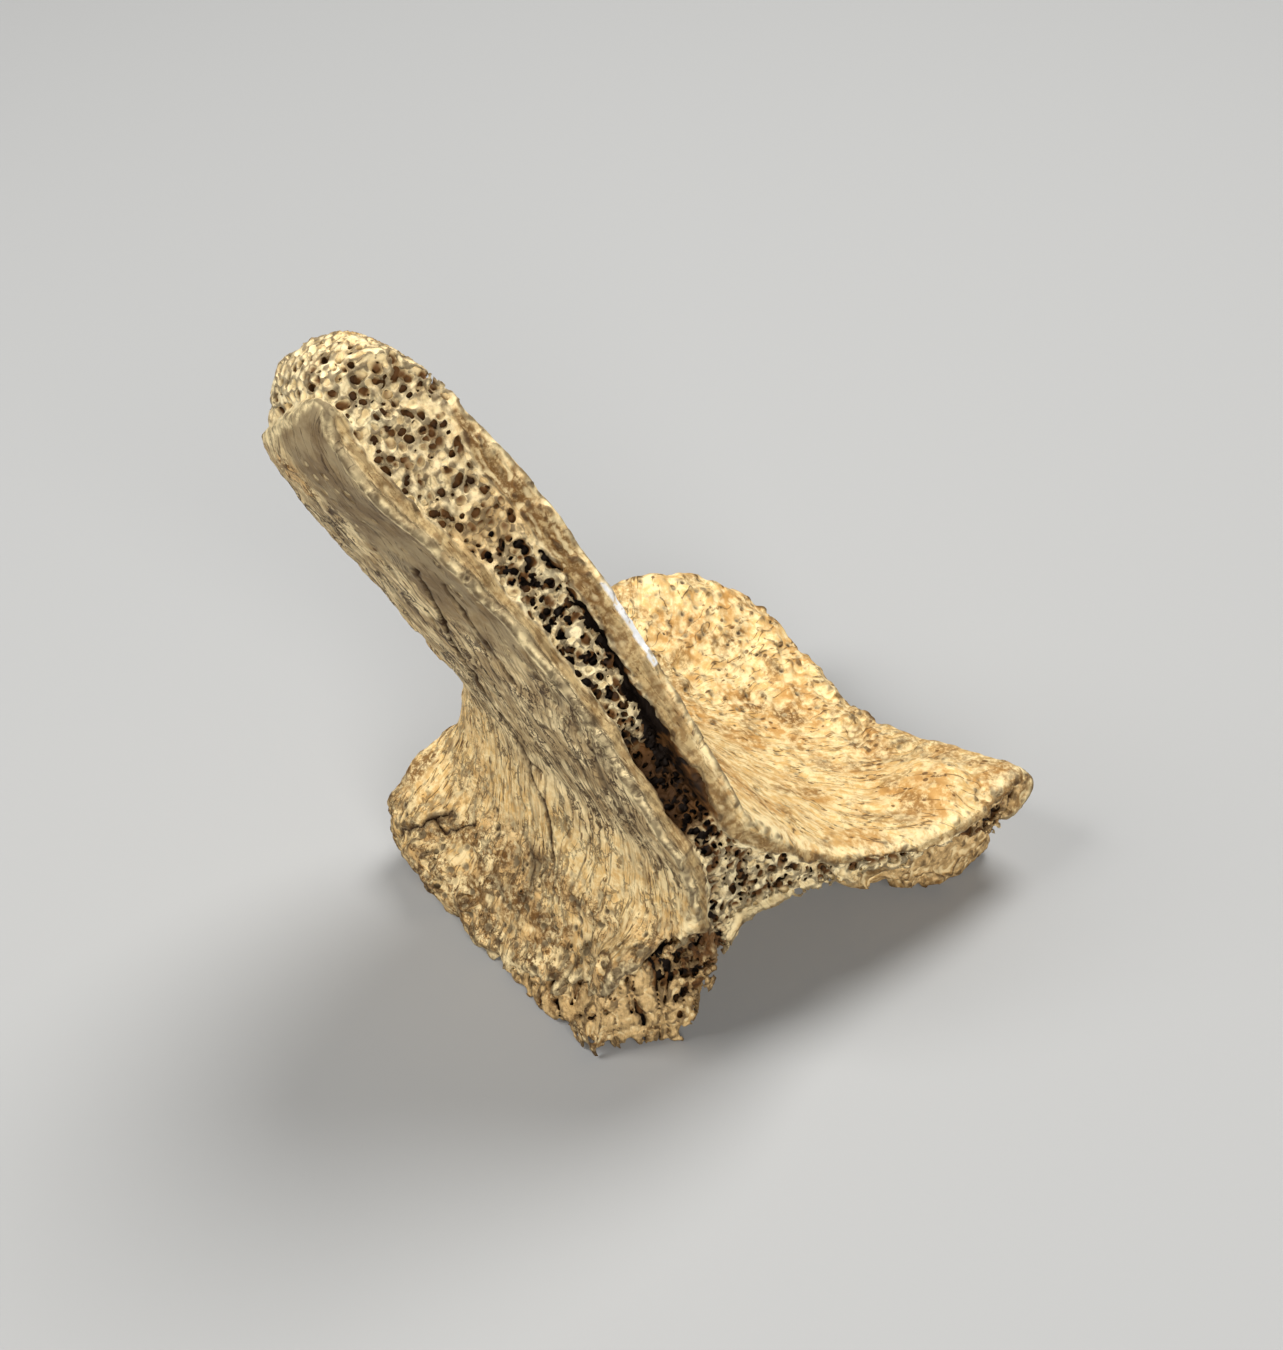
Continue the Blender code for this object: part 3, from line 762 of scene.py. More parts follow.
def broken_bone(p, out, back, lean_x, lean_z):
    """Distance to the broken and porous bone, to the same without its pores, and how far inside
    the spongy core a place is."""
    x, _, z = p
    wall = wall_thickness(p, lean_x, lean_z, back)
    inside = -out - wall + waves(p / 1.6, 201) * 0.9
    share = ramp(-0.1, 0.5, inside)
    leg = leg_share(p)
    worn = worn_share(p)
    under_lip = ramp(4.5, 0.4, lip_drop(p))
    bulge = waves(p / 3, 177) * 1.9
    front_leg = ramp(-20, -13, x)
    outward = ramp(0.4, -0.1, lean_x)
    out = out + leg * outward * blend(0.1 + 0.5 * under_lip, 0.45 + 0.9 * under_lip, front_leg)
    fibres = lumps(leg_places(p) * column(0.75, 0.75, 0.12), 239)
    creases = ramp(0.16, 0, np.abs(fibres - 0.5)) * lumps(p / 2.6, 243)
    out = out + leg * ((fibres - 0.5) * 1.3 + 1.5 * creases)
    clods = clouds(p / 2.6, 179, 3)
    lumpy = ramp(-27, -31, z) * ramp(12, 16, x) * ramp(37, 34, x)
    out = out + lumpy * (clods - 0.44) * 4
    out = out + worn * (bulge + blend(0.9, -0.25, ramp(-6.5, -1.5, x)))
    sink = 0.5 * ramp(0.2, 1, -out / np.maximum(wall, 0.5)) + 0.6 * share
    sink = sink + HOLLOW_DEPTH * hollow_share(p) * share
    sink = sink + blend(*STUMP_BACK, ramp(17, 21, x)) * stump_share(p)
    sink = sink + waves(p / 1.3, 211) * blend(0.25, 1.1, share)
    upper = ramp(30, 38, z) * ramp(2, 4, x)
    strands = clouds(p / column(0.8, 0.8, 4.5), 217, 2)
    sink = sink + (strands - 0.45) * 1.5 * upper * (1 - share)
    low_right = ramp(2, -2, z) * ramp(6, 9, x)
    rolled = low_right * ramp(-0.2, 0.4, lean_z)
    top = smooth_max(out, back + sink, blend(0.35, 3.6, rolled))
    cells = foam_distance(p, CELL, 221)
    root = leg_places(p)
    along_leg = foam_distance(root, LEG_CELL, 231, column(0.95, 0.85, 0.40)) + 0.03
    strand = lumps(root * column(0.95, 0.95, 0.13), 237)
    along_leg = along_leg + 0.3 * ramp(-13, -16.5, x + 6 * waves(p / 2.5, 235, 1))
    along_leg = np.minimum(along_leg, (np.abs(strand - 0.5) - 0.05) * 3)
    cells = np.where(leg > 0.5, along_leg, cells)
    high = ramp(38, 47, z)
    cells = np.where(z > 50, foam_distance(p, HIGH_CELL, 241), cells) + 0.05 * high
    cells = cells + 0.4 * stump_share(p) + 1.2 * (1 - ramp(-0.05, 0.3, inside))
    reach = PORE_DEPTH * (1 - 0.58 * high) * (1 - 0.4 * leg)
    deep = ramp(-reach, -reach - 0.6, top)
    buried = ramp(-4, -5.2, back + sink) * ramp(0.1, 0.9, wall)
    bone = smooth_max(top, -(cells + 1.5 * deep + 3 * buried), 0.08)
    return smooth_max(bone, -crevice_distance(p), 0.25), top, inside


def add_gusset(grid, outer):
    """Fill the corner between the arch's apex and the left root, in place."""
    low, high = np.min(GUSSET, 0) - GUSSET_REACH, np.max(GUSSET, 0) + GUSSET_REACH
    inside = [np.nonzero((axis > a) & (axis < b))[0] for axis, a, b in zip(grid.axes, low, high)]
    chosen = tuple(np.meshgrid(*inside, indexing="ij"))
    away, _ = near_line(grid.places(chosen).reshape(3, -1), GUSSET)
    away = away.reshape(chosen[0].shape)
    outer[chosen] = -smooth_max(-outer[chosen], GUSSET_RADIUS - away, GUSSET_JOIN)


def carve(grid, outer, broken):
    """The finished block of distances, the same without pores, and one that is above 0 in the
    spongy core."""
    solid = smooth_max(outer, broken, 0.6)
    top = solid.copy()
    core = np.full(grid.shape, -9, np.float32)
    z = grid.axes[2]
    deep = ((z > HOLLOW_SPAN[0]) & (z < HOLLOW_SPAN[1])) | (z < LOW_BREAK_Z)
    band = np.where(deep, HOLLOW_DEPTH + 2, 0) + PORE_DEPTH + 2.6
    chosen = (outer < 0.4) & (broken < 1) & (broken > -band)
    tip = (outer < 0.4) & (outer > -PORE_DEPTH - 2) & (broken < 1)
    tip[:, :, (z > UNWORN_SPAN[0]) & (z < UNWORN_SPAN[1])] = False
    chosen = np.nonzero(chosen | tip)
    lean = []
    for axis in (0, 2):
        ahead, behind = list(chosen), list(chosen)
        ahead[axis] = np.minimum(chosen[axis] + 2, grid.shape[axis] - 1)
        behind[axis] = np.maximum(chosen[axis] - 2, 0)
        lean.append((outer[tuple(ahead)] - outer[tuple(behind)]) / (4 * STEP))
    solid[chosen], top[chosen], core[chosen] = side_by_side(
        broken_bone, grid.places(chosen), outer[chosen], broken[chosen], *lean
    )
    return solid, top, core


def bone_matrix():
    heading = Matrix.Rotation(REST_HEADING, 3, "Z")
    pitch = Matrix.Rotation(REST_PITCH, 3, "X")
    roll = Matrix.Rotation(-REST_ROLL, 3, "Y")
    return np.array(heading @ pitch @ roll, np.float32)


def to_world(points):
    """Bone coordinates in millimetres to the frame's, in millimetres."""
    return bone_matrix() @ points + column(*BONE_ORIGIN)


def splinter_height(p):
    """How high above the floor the broken feet end, so that they stand on splinters."""
    x, y, z = p
    tips = clouds(p / column(1.6, 1.6, 7), 501, 2)
    left_foot = ramp(-13, -17, z) * ramp(-8, -12, x) * ramp(24, 18, y)
    right_foot = ramp(-34, -38, z) * ramp(14, 18, x)
    return ramp(0.38, 0.60, tips) * (2.2 * left_foot + 1.8 * right_foot)


def skin_shift(p, out, back, inside):
    """How far the fine relief sinks each place, the height of splinters and the distance to the
    cracks there."""
    depth, _, _, _ = skin_relief(p, on_skin(out, back), out)
    skin = ramp(1.5, 0.3, np.abs(out)) * ramp(0.3, -0.2, inside)
    return depth * blend(0.12, 1, skin), splinter_height(p), crack_gap(p, out)


def finish_relief(grid, solid, top, core, outer, broken):
    """Sink the fine relief into the surface, hardly inside pores, and cut it at the floor."""
    near = np.nonzero((np.abs(solid) < SKIN_BAND) & (outer < SKIN_BAND))
    p = grid.places(near)
    shift, splinters, gap = side_by_side(skin_shift, p, outer[near], broken[near], core[near])
    cut = FLOOR_GAP + splinters - to_world(p)[2]
    solid[near] = np.maximum(smooth_max(solid[near] + shift, -gap, 0.1), cut)
    top[near] = np.maximum(top[near] + shift, cut)
    up = bone_matrix()[2]
    x, y, z = (grid.axes[axis] * up[axis] for axis in range(3))
    height = BONE_ORIGIN[2] + x[:, None, None] + y[None, :, None] + z[None, None, :]
    np.maximum(solid, FLOOR_GAP - height, out=solid)
    return solid


def surface(grid, solid):
    """Vertices and quads of the finished surface, without loose crumbs."""
    block = vdb.FloatGrid(2.0)
    block.transform = vdb.createLinearTransform(STEP)
    first = tuple(int(value) for value in grid.first)
    block.copyFromArray(np.clip(solid, -2, 2), ijk=first)
    points, _, quads = block.convertToPolygons(isovalue=0.0, adaptivity=0.0)
    quads = quads.astype(np.int64)[:, ::-1]
    label = np.arange(len(points))
    open_quads = quads
    while len(open_quads):
        roots = label[open_quads]
        least = roots.min(axis=1)
        for corner in range(4):
            np.minimum.at(label, roots[:, corner], least)
        while (label[label] != label).any():
            label = label[label]
        roots = label[open_quads]
        open_quads = open_quads[roots.min(axis=1) != roots.max(axis=1)]
    main = np.bincount(label[quads[:, 0]]).argmax()
    quads = quads[label[quads[:, 0]] == main]
    used = np.unique(quads)
    order = np.zeros(len(points), np.int64)
    order[used] = np.arange(len(used))
    return points[used], order[quads]


def vertex_normals(points, quads):
    a, b, c, d = (points[corner] for corner in quads.T)
    across = np.cross(c - a, d - b)
    total = np.zeros_like(points)
    for corner in quads.T:
        for axis in range(3):
            total[:, axis] += np.bincount(corner, across[:, axis], len(points))
    return total / np.maximum(np.linalg.norm(total, axis=1, keepdims=True), 1e-9)


# Turns by which the curve is evened out, by how much in each, and its strength.
CURVE_TURNS = 2
CURVE_SHARE = 0.6
CURVE_GAIN = 3.5


def curvature(points, quads, normals):
    """0 on sharp ridges, 0.5 on flat bone, 1 in sharp hollows."""
    count = np.bincount(quads.ravel()) * 2
    pairs = [(quads[:, a], quads[:, (a + turn) % 4]) for a in range(4) for turn in (1, 3)]
    offset = sum(
        np.bincount(here, ((points[there] - points[here]) * normals[here]).sum(axis=1), len(points))
        for here, there in pairs
    ) / count / STEP
    for _ in range(CURVE_TURNS):
        total = sum(np.bincount(here, offset[there], len(points)) for here, there in pairs)
        offset = blend(offset, total / count, CURVE_SHARE)
    return np.clip(0.5 + CURVE_GAIN * offset, 0, 1)


def below_slab(p, slab):
    """Whether a place is under a parting plane and within its reach."""
    middle, halves, turn = slab
    q = turned(p - column(*middle), "Y", -turn)
    return (q[2] < 0) & (np.abs(q[0]) < halves[0]) & (np.abs(q[1]) < halves[1])


def piece_of(p, core):
    """Number in PIECES of the piece that each face belongs to."""
    x, y, z = p
    left = x < 0
    names = np.where(left, 1, 2)
    names = np.where(y > ARTICULAR_Y, np.where(left, 3, 4), names)
    names = np.where(left & below_slab(p, LEFT_SLAB), 5, names)
    names = np.where(~left & below_slab(p, RIGHT_SLAB), 6, names)
    names = np.where((names <= 2) & (core > 0), names + 6, names)
    middle = sum(read_table(BLADE, z)[1:3]) / 2
    blade = np.where(x < middle, 9, 10)
    blade = np.where(core > 0, 0, blade)
    return np.where(z > BLADE_FLOOR_Z, blade, names)


# Name of each piece, the node that it replaces, its slot.
PIECES = (
    ("spinous_process_core", "spinous_process", "weathered_bone"),
    ("left_lamina_face", "left_lamina", "weathered_bone"),
    ("right_lamina_face", "right_lamina", "cream_bone"),
    ("left_articular_lobe", "left_articular_process", "cream_bone"),
    ("right_articular_knob", "right_articular_process", "cream_bone"),
    ("left_root_splinters", "left_pedicle_root", "stained_bone"),
    ("right_root_stump", "right_pedicle_root", "stained_bone"),
    ("left_lamina_core", "left_lamina", "weathered_bone"),
    ("right_lamina_core", "right_lamina", "cream_bone"),
    ("spinous_process_left", "spinous_process", "weathered_bone"),
    ("spinous_process_right", "spinous_process", "weathered_bone"),
)


# Names of the numbers that the material reads from the meshes.
TONES = (
    "cream", "warm", "stain", "pore_sediment_and_shade", "spongy", "groove", "rough", "lacquer", "hollow_shade", "pale_foam_and_highlight",
    "wall", "rim", "sleek",
)
CURVE = "curve"


def tones(p, outer, core, broken, top):
    """Everything that the material reads, one number a vertex, in the order of TONES."""
    x, y, z = p
    face = on_skin(outer, broken)
    _, groove, rough, dent = skin_relief(p, face, outer)
    left = left_share(p)
    right = 1 - left
    leg = leg_share(p)
    spongy = ramp(-0.25, 0.15, core)
    # Pores darken with depth below the surface: brown sediment where shallow, painted shade deeper
    # down.
    pore_sediment_and_shade = np.clip((-top - 0.12) / 2, 0, 1) * (1 - 0.12 * ramp(36, 46, z))
    lobe = ramp(33, 41, y) * left * ramp(7.5, 3, z)
    lamina = ramp(5, -5, z + 5 * waves(p / 6, 405, 1)) * left
    cream = np.maximum.reduce([right, lobe, 0.85 * lamina]) + waves(p / 5, 401, 3) * 0.6
    rim_band = ramp(7, 2.5, y - front_y(z)) * right * ramp(0, 6, z)
    cream = np.clip(cream, 0, 1) * (1 - 0.4 * rim_band) * (1 - 0.5 * leg)
    warm = ramp(0.42, 0.66, clouds(p / 4.5, 411)) * np.maximum(right, 0.5 * lamina)
    spots = ramp(0.56, 0.70, clouds(p / 3, 421))
    below = ramp(-6, -12, z) * left
    stain = spots * np.maximum(0.55 * right * (x > 8), 0.9 * below)
    ragged = 0.55 + 0.9 * clouds(p / 1.6, 427, 2)
    for place, radius in STAINS:
        spot = ramp(radius, 0.35 * radius, away_from(p, place) * ragged)
        stain = np.maximum(stain, 0.9 * spot)
    wing_end = ramp(36, 39.5, x) * ramp(9, 4, y)
    root = ramp(-30, -36, z) * right
    low_right = right * ramp(2, -2, z)
    broken_wall = ramp(blend(-1, -0.8, low_right), blend(-1.5, -1.3, low_right), outer)
    broken_wall = broken_wall * (1 - spongy)
    stump = ramp(-29, -32, z) * right * clouds(p / 2, 433, 2)
    upper = ramp(2.5, 4.5, x) * ramp(22, 30, z) * broken_wall
    wall_spot = ramp(0.40, 0.60, clouds(p / 4, 431)) * upper
    strip = ramp(33, 38, z) * ramp(2, 3.5, x) * (1 - spongy)
    strip = strip * ramp(-0.3, -0.9, outer) * ramp(0.22, 0.42, clouds(p / 2, 435, 2))
    ledge = ramp(10, 6, z) * right * broken_wall
    brown_leg = leg * ramp(-15, -11, x)
    stain = np.maximum.reduce([
        stain, 0.7 * wing_end, 0.5 * root, 0.85 * wall_spot, 0.9 * strip, 0.4 * ledge,
        0.45 * brown_leg, stump, 0.85 * dent,
    ])
    # Painted shade in the hollow behind the break, low in the blade, on its spongy bone and on the
    # broken walls further back.
    behind = broken_wall * ramp(-1, -2.2, broken)
    hollow_shade = hollow_share(p) * np.maximum(spongy, behind)
    # The pores in the hollow take part of its painted shade.
    pore_sediment_and_shade = np.maximum(pore_sediment_and_shade, 0.5 * hollow_shade)
    # Foam painted paler in these zones: partly its own pale tone, partly painted light.
    pale_foam_and_highlight = np.maximum.reduce([
        ramp(47, 38, z) * ramp(14, 18, z), ramp(6, 2, z) * ramp(-10, -5, x),
        ramp(54, 60, z) * ramp(4, -1, x), 0.8 * ramp(44, 50, z),
    ])
    pale_foam_and_highlight = pale_foam_and_highlight * (1 - 0.6 * brown_leg) * ramp(-33, -29, z)
    # Pale rim along the break's edges, under the lip and round the worn tip: partly pale cortical
    # bone, partly painted highlight on the rounded lip.
    deep_rim = blend(1, 1.25, low_right)
    rim = ramp(blend(-1.1, -3.4, low_right), blend(-0.4, -1.6, low_right), broken) * (1 - leg)
    rim = rim * ramp(-deep_rim, -0.3, outer)
    rim = np.maximum(rim, ramp(-1.3, -0.5, lip_drop(p)) * below * (1 - leg))
    rim = np.maximum(rim, worn_share(p + column(0, 0, 1.3)) * left * (1 - spongy))
    # Smooth upper left face; the material paints it darker, partly as painted shade.
    sleek = sleek_share(p) * face
    groove = groove * (1 - spongy)
    return (
        cream, warm, stain, pore_sediment_and_shade, spongy, groove, rough, lacquer_share(p, outer), hollow_shade, pale_foam_and_highlight,
        broken_wall, rim, sleek,
    )


def lacquer_share(p, outer):
    """The blank white patch on the blade's right face."""
    (behind, height), (half_wide, half_high) = PATCH
    away = np.abs(p[1] - front_y(p[2]) - behind)
    edge = np.maximum(away - half_wide, np.abs(p[2] - height) - half_high)
    edge = edge + waves(p / 1.5, 441, 3) * 0.9
    split = ramp(0.05, 0.02, np.abs(lumps(p * column(1.2, 1, 0.3), 443) - 0.5))
    share = ramp(0.2, -0.2, edge) * (1 - 0.85 * split)
    return share * ramp(2, 4, p[0]) * (np.abs(outer) < 0.8)


class Shade:
    """A number or vector in a node tree, reckoned with by signs."""

    def __init__(self, socket):
        self.socket = socket

    def into(self, kind, *values, **settings):
        """First output of a new node with this and the values in its first inputs."""
        inputs = dict(enumerate((self, *values)))
        return Shade(add_node(self.socket.id_data, kind, inputs, **settings).outputs[0])

    def __mul__(self, other):
        return self.into("ShaderNodeMath", other, operation="MULTIPLY")

    def __add__(self, other):
        return self.into("ShaderNodeMath", other, operation="ADD")

    def __sub__(self, other):
        return self.into("ShaderNodeMath", other, operation="SUBTRACT")

    def __rsub__(self, other):
        return self.into("ShaderNodeMath", -1, other, operation="MULTIPLY_ADD")

    def __abs__(self):
        return self.into("ShaderNodeMath", operation="ABSOLUTE")

    def or_more(self, other):
        return self.into("ShaderNodeMath", other, operation="MAXIMUM")

    def steps(self, low, high, to_low=0, to_high=1):
        """This number read between two limits."""
        limits = (low, high, to_low, to_high)
        return self.into("ShaderNodeMapRange", *limits, interpolation_type="SMOOTHSTEP")


def add_node(tree, kind, inputs, **settings):
    """A node with its inputs set to values or joined to shades."""
    made = tree.nodes.new(kind)
    for name, value in settings.items():
        setattr(made, name, value)
    for name, value in inputs.items():
        if isinstance(value, Shade):
            tree.links.new(value.socket, made.inputs[name])
        else:
            made.inputs[name].default_value = value
    return made


def attribute(tree, name, output="Fac"):
    return Shade(add_node(tree, "ShaderNodeAttribute", {}, attribute_name=name).outputs[output])


def mixed(share, a, b):
    """Colour between a and b."""
    inputs = {0: share}
    for number, colour in ((6, a), (7, b)):
        inputs[number] = colour if isinstance(colour, Shade) else (*colour, 1)
    return Shade(add_node(share.socket.id_data, "ShaderNodeMix", inputs, data_type="RGBA").outputs[2])


def painted(colour, *coats):
    """A colour with coats over it, each a share and a tone."""
    for share, tone in coats:
        colour = mixed(share, colour, tone)
    return colour


def noise_at(place, scale, detail=3, roughness=0.6):
    inputs = {"Vector": place, "Scale": scale, "Detail": detail, "Roughness": roughness}
    return Shade(add_node(place.socket.id_data, "ShaderNodeTexNoise", inputs).outputs["Fac"])


def cells_at(place, scale, **settings):
    """Scattered cells, drawn out by a scale for each axis."""
    tree = place.socket.id_data
    drawn = add_node(tree, "ShaderNodeMapping", {"Vector": place, "Scale": scale}).outputs[0]
    return add_node(tree, "ShaderNodeTexVoronoi", {"Vector": Shade(drawn), "Scale": 1}, **settings)


def lines_of(value, width):
    """1 on the lines where a field passes its middle value, 0 beside them."""
    return abs(value - 0.5).steps(width, 0)


def crackle_marks(fibre, place):
    """Hairline cracks between long cells, here and there along the fibres."""
    bend = noise_at(place, 0.9) * 0.9
    bent = fibre.into("ShaderNodeVectorMath", bend, operation="ADD")
    cells = cells_at(bent, CRACKLE_CELLS, feature="DISTANCE_TO_EDGE")
    crowd = noise_at(place, 0.16, 3, 0.55).steps(0.42, 0.52)
    return Shade(cells.outputs["Distance"]).steps(0.085, 0.03) * crowd


def dash_marks(fibre, place):
    """Short dark dashes and pits, drawn out the way the bone's fibres run."""
    cells = cells_at(fibre, DASH_CELLS)
    colour = {"Color": Shade(cells.outputs["Color"])}
    own = add_node(fibre.socket.id_data, "ShaderNodeSeparateColor", colour)
    limit = noise_at(place, 0.22, 2, 0.5) * -1.4 + 1.25
    shown = (Shade(own.outputs[0]) - limit).steps(-0.02, 0.02)
    size = Shade(own.outputs[1]) * 0.13 + 0.09
    return (Shade(cells.outputs["Distance"]) - size).steps(0.04, -0.03) * shown


# Scales of the cells of the hairline cracks and of the dashes.
CRACKLE_CELLS = (1.6, 0.46, 1.6)
DASH_CELLS = (3.2, 1.1, 3.2)
BUMP_STRENGTH = 0.8
BUMP_HEIGHT = 0.16 * MM
SPECULAR = 0.3

GREY = (0.44, 0.31, 0.15)
# Darker grey of the smooth upper left face, partly painted shade.
SLEEK_SHADE_GREY = (0.115, 0.068, 0.028)
PALE_GREY = (0.92, 0.74, 0.42)
GREY_LINE = (0.10, 0.058, 0.022)
CREAM = (0.80, 0.52, 0.19)
PALE_CREAM = (0.95, 0.76, 0.41)
ORANGE = (0.56, 0.30, 0.085)
BROWN = (0.16, 0.072, 0.014)
WALL_TAN = (0.54, 0.385, 0.175)
WALL_BROWN = (0.26, 0.15, 0.05)
# Pale foam, partly painted highlight.
FOAM_PALE_HIGHLIGHT = (1, 0.85, 0.52)
FOAM_TAN = (0.84, 0.58, 0.27)
FOAM_DULL = (0.60, 0.40, 0.17)
# Painted shade in the hollow behind the break.
HOLLOW_SHADE_BROWN = (0.055, 0.019, 0.004)
# Pore colours: brown sediment, then painted shade at the bottom of deep pores.
PORE_BROWN = (0.16, 0.068, 0.016)
PORE_SHADE = (0.010, 0.004, 0.001)
# Dark brown of grooves and cracks, also used for painted shade in concave hollows.
GROOVE_AND_SHADE_BROWN = (0.045, 0.020, 0.006)
# Cream of ridges and rims, partly painted highlight.
EDGE_CREAM_HIGHLIGHT = (0.98, 0.80, 0.45)
PIT_BROWN = (0.13, 0.058, 0.014)
WHITE = (0.80, 0.81, 0.82)


def bone_material():
    """Fossil bone: grey to cream and orange, stained, with dark grooves, sediment and painted shade
    in its pores, painted shade in hollows and creases, and painted highlights on edges and foam.
    """
    material = bpy.data.materials.new("fossil_bone")
    material.use_nodes = True
    tree = material.node_tree
    place = attribute(tree, "bone", "Vector")
    fibre = attribute(tree, "fibre", "Vector")
    read = {name: attribute(tree, name) for name in (*TONES, CURVE)}
    sleek, rough, hollow_shade, curve = (read[name] for name in ("sleek", "rough", "hollow_shade", CURVE))
    fine = noise_at(place, 2.6, 4, 0.7)
    broad = noise_at(place, 0.24, 5, 0.62)
    blotch = noise_at(place, 0.75, 5, 0.7)
    thread = noise_at(fibre, 1.7, 4, 0.62)
    hair = noise_at(fibre, 0.8, 2, 0.5)
    specks = noise_at(place, 1.5, 3, 0.7)
    flakes = noise_at(place, 0.42, 6, 0.72)
    dashes = dash_marks(fibre, place) * (1 - sleek)
    lines = lines_of(hair, 0.022) * blotch.steps(0.40, 0.54) * (1 - read["stain"])
    across = place.into("ShaderNodeSeparateXYZ")
    weathered = (read["cream"] * -0.4 + 1) * across.steps(1.5, -1.5)
    crackle = crackle_marks(fibre, place) * weathered * (1 - sleek.or_more(read["wall"]))

    grey = painted(
        mixed(broad.steps(0.40, 0.62), GREY, PALE_GREY),
        (thread.steps(0.48, 0.66) * ((1 - sleek) * 0.60 + 0.12), GREY_LINE),
        # Smooth upper left face painted darker: partly its own grey, partly painted shade of a face
        # leaning downward.
        (sleek * 0.72, SLEEK_SHADE_GREY),
    )
    orange = read["warm"] * blotch.steps(0.36, 0.6, 0.25, 1)
    orange = orange.or_more(thread.steps(0.48, 0.64) * 0.55)
    cream = mixed(orange, mixed(blotch.steps(0.40, 0.62), PALE_CREAM, CREAM), ORANGE)
    wall = mixed(blotch.steps(0.42, 0.62), WALL_TAN, WALL_BROWN)
    wall = mixed(thread.steps(0.45, 0.6) * 0.45, wall, GREY_LINE)
    stain = read["stain"] * specks.steps(0.36, 0.58, 0.2, 1)
    foam = painted(
        mixed(blotch.steps(0.36, 0.60), FOAM_TAN, FOAM_DULL),
        # Paler foam in chosen zones: partly its own pale tone, partly painted light.
        (read["pale_foam_and_highlight"] * blotch.steps(0.66, 0.40, 0.35, 1), FOAM_PALE_HIGHLIGHT),
        (fine.steps(0.5, 0.72) * 0.28, PIT_BROWN),
        (stain * 0.8, BROWN),
    )
    # Paler cream on convex ridges and along rims: partly pale worn edges, partly painted highlight;
    # kept off the hollow's painted shade.
    edge = curve.steps(0.46, 0.22) * hollow_shade.steps(0, 0.6, 0.7, 0.02)
    edge = edge.or_more(read["rim"] * blotch.steps(0.62, 0.42, 0.2, 0.9))
    colour = painted(
        mixed(read["cream"], grey, cream),
        (rough * 0.45, PALE_CREAM),
        (flakes.steps(0.50, 0.53) * rough * 0.6, ORANGE),
        (specks.steps(0.56, 0.61) * rough * 0.9, BROWN),
        (lines_of(flakes, 0.045) * rough * 0.85, BROWN),
        (lines * 0.8, GROOVE_AND_SHADE_BROWN),
        (crackle * 0.9, GROOVE_AND_SHADE_BROWN),
        (read["wall"] * 0.9, wall),
        (dashes * 0.85, PIT_BROWN),
        (stain, BROWN),
        (read["spongy"], foam),
        # Painted shade in the hollow behind the break.
        (hollow_shade, HOLLOW_SHADE_BROWN),
        (edge, EDGE_CREAM_HIGHLIGHT),
        # Painted shade in sharp concave hollows.
        (curve.steps(0.54, 0.85) * 0.75, GROOVE_AND_SHADE_BROWN),
        # Pores: brown sediment, deepening to painted shade.
        (read["pore_sediment_and_shade"].steps(0.07, 0.36), PORE_BROWN),
        (read["pore_sediment_and_shade"].steps(0.26, 0.70), PORE_SHADE),
        (read["groove"], GROOVE_AND_SHADE_BROWN),
        (read["lacquer"], WHITE),
    )

    height = (fine + thread) * 0.5 - lines * 0.6 - dashes * 0.7 - crackle
    bump = {"Height": height, "Strength": BUMP_STRENGTH, "Distance": BUMP_HEIGHT}
    shader = tree.nodes["Principled BSDF"]
    shader.inputs["Specular IOR Level"].default_value = SPECULAR
    for name, shade in (
        ("Base Color", colour),
        ("Roughness", fine * 0.2 + 0.62 - read["lacquer"] * 0.35),
        ("Normal", Shade(add_node(tree, "ShaderNodeBump", bump).outputs[0])),
    ):
        tree.links.new(shade.socket, shader.inputs[name])
    return material


def map_places(corners, facing):
    """Places of the quads' corners on a square map: each quad takes one cell of the map, beside
    its neighbours, in tiles of quads that face the same way."""
    cells = np.floor(corners / STEP).astype(np.int64)
    low, high = cells.min(axis=1), cells.max(axis=1)
    row = np.arange(len(cells))
    axis = np.argmin((high - low) * 2 - np.abs(facing), axis=1)
    across = [(axis + 1) % 3, (axis + 2) % 3]
    place = [high[row, way] for way in across]
    side = facing[row, axis] > 0
    order = np.lexsort((low[row, axis], place[1], place[0], side, axis))
    key = np.stack([axis, side, *place])[:, order]
    fresh = np.append(True, (key[:, 1:] != key[:, :-1]).any(axis=0))
    first = np.maximum.accumulate(np.where(fresh, row, 0))
    rank = np.empty_like(row)
    rank[order] = row - first
    tiles = np.stack([axis, side, rank, place[0] // MAP_TILE, place[1] // MAP_TILE], axis=1)
    _, number = np.unique(tiles, axis=0, return_inverse=True)
    number = number.reshape(-1)
    rows = int(np.ceil(np.sqrt(number.max() + 1)))
    spots = []
    for way, spot, tile in zip(across, place, (number % rows, number // rows)):
        corner = np.take_along_axis(cells, way[:, None, None], axis=2)[:, :, 0]
        corner = np.clip(corner - spot[:, None] + 1, 0, 1)
        spots.append(tile[:, None] * (MAP_TILE + 2) + 1 + (spot % MAP_TILE)[:, None] + corner)
    return np.stack(spots, axis=2) / (rows * (MAP_TILE + 2))


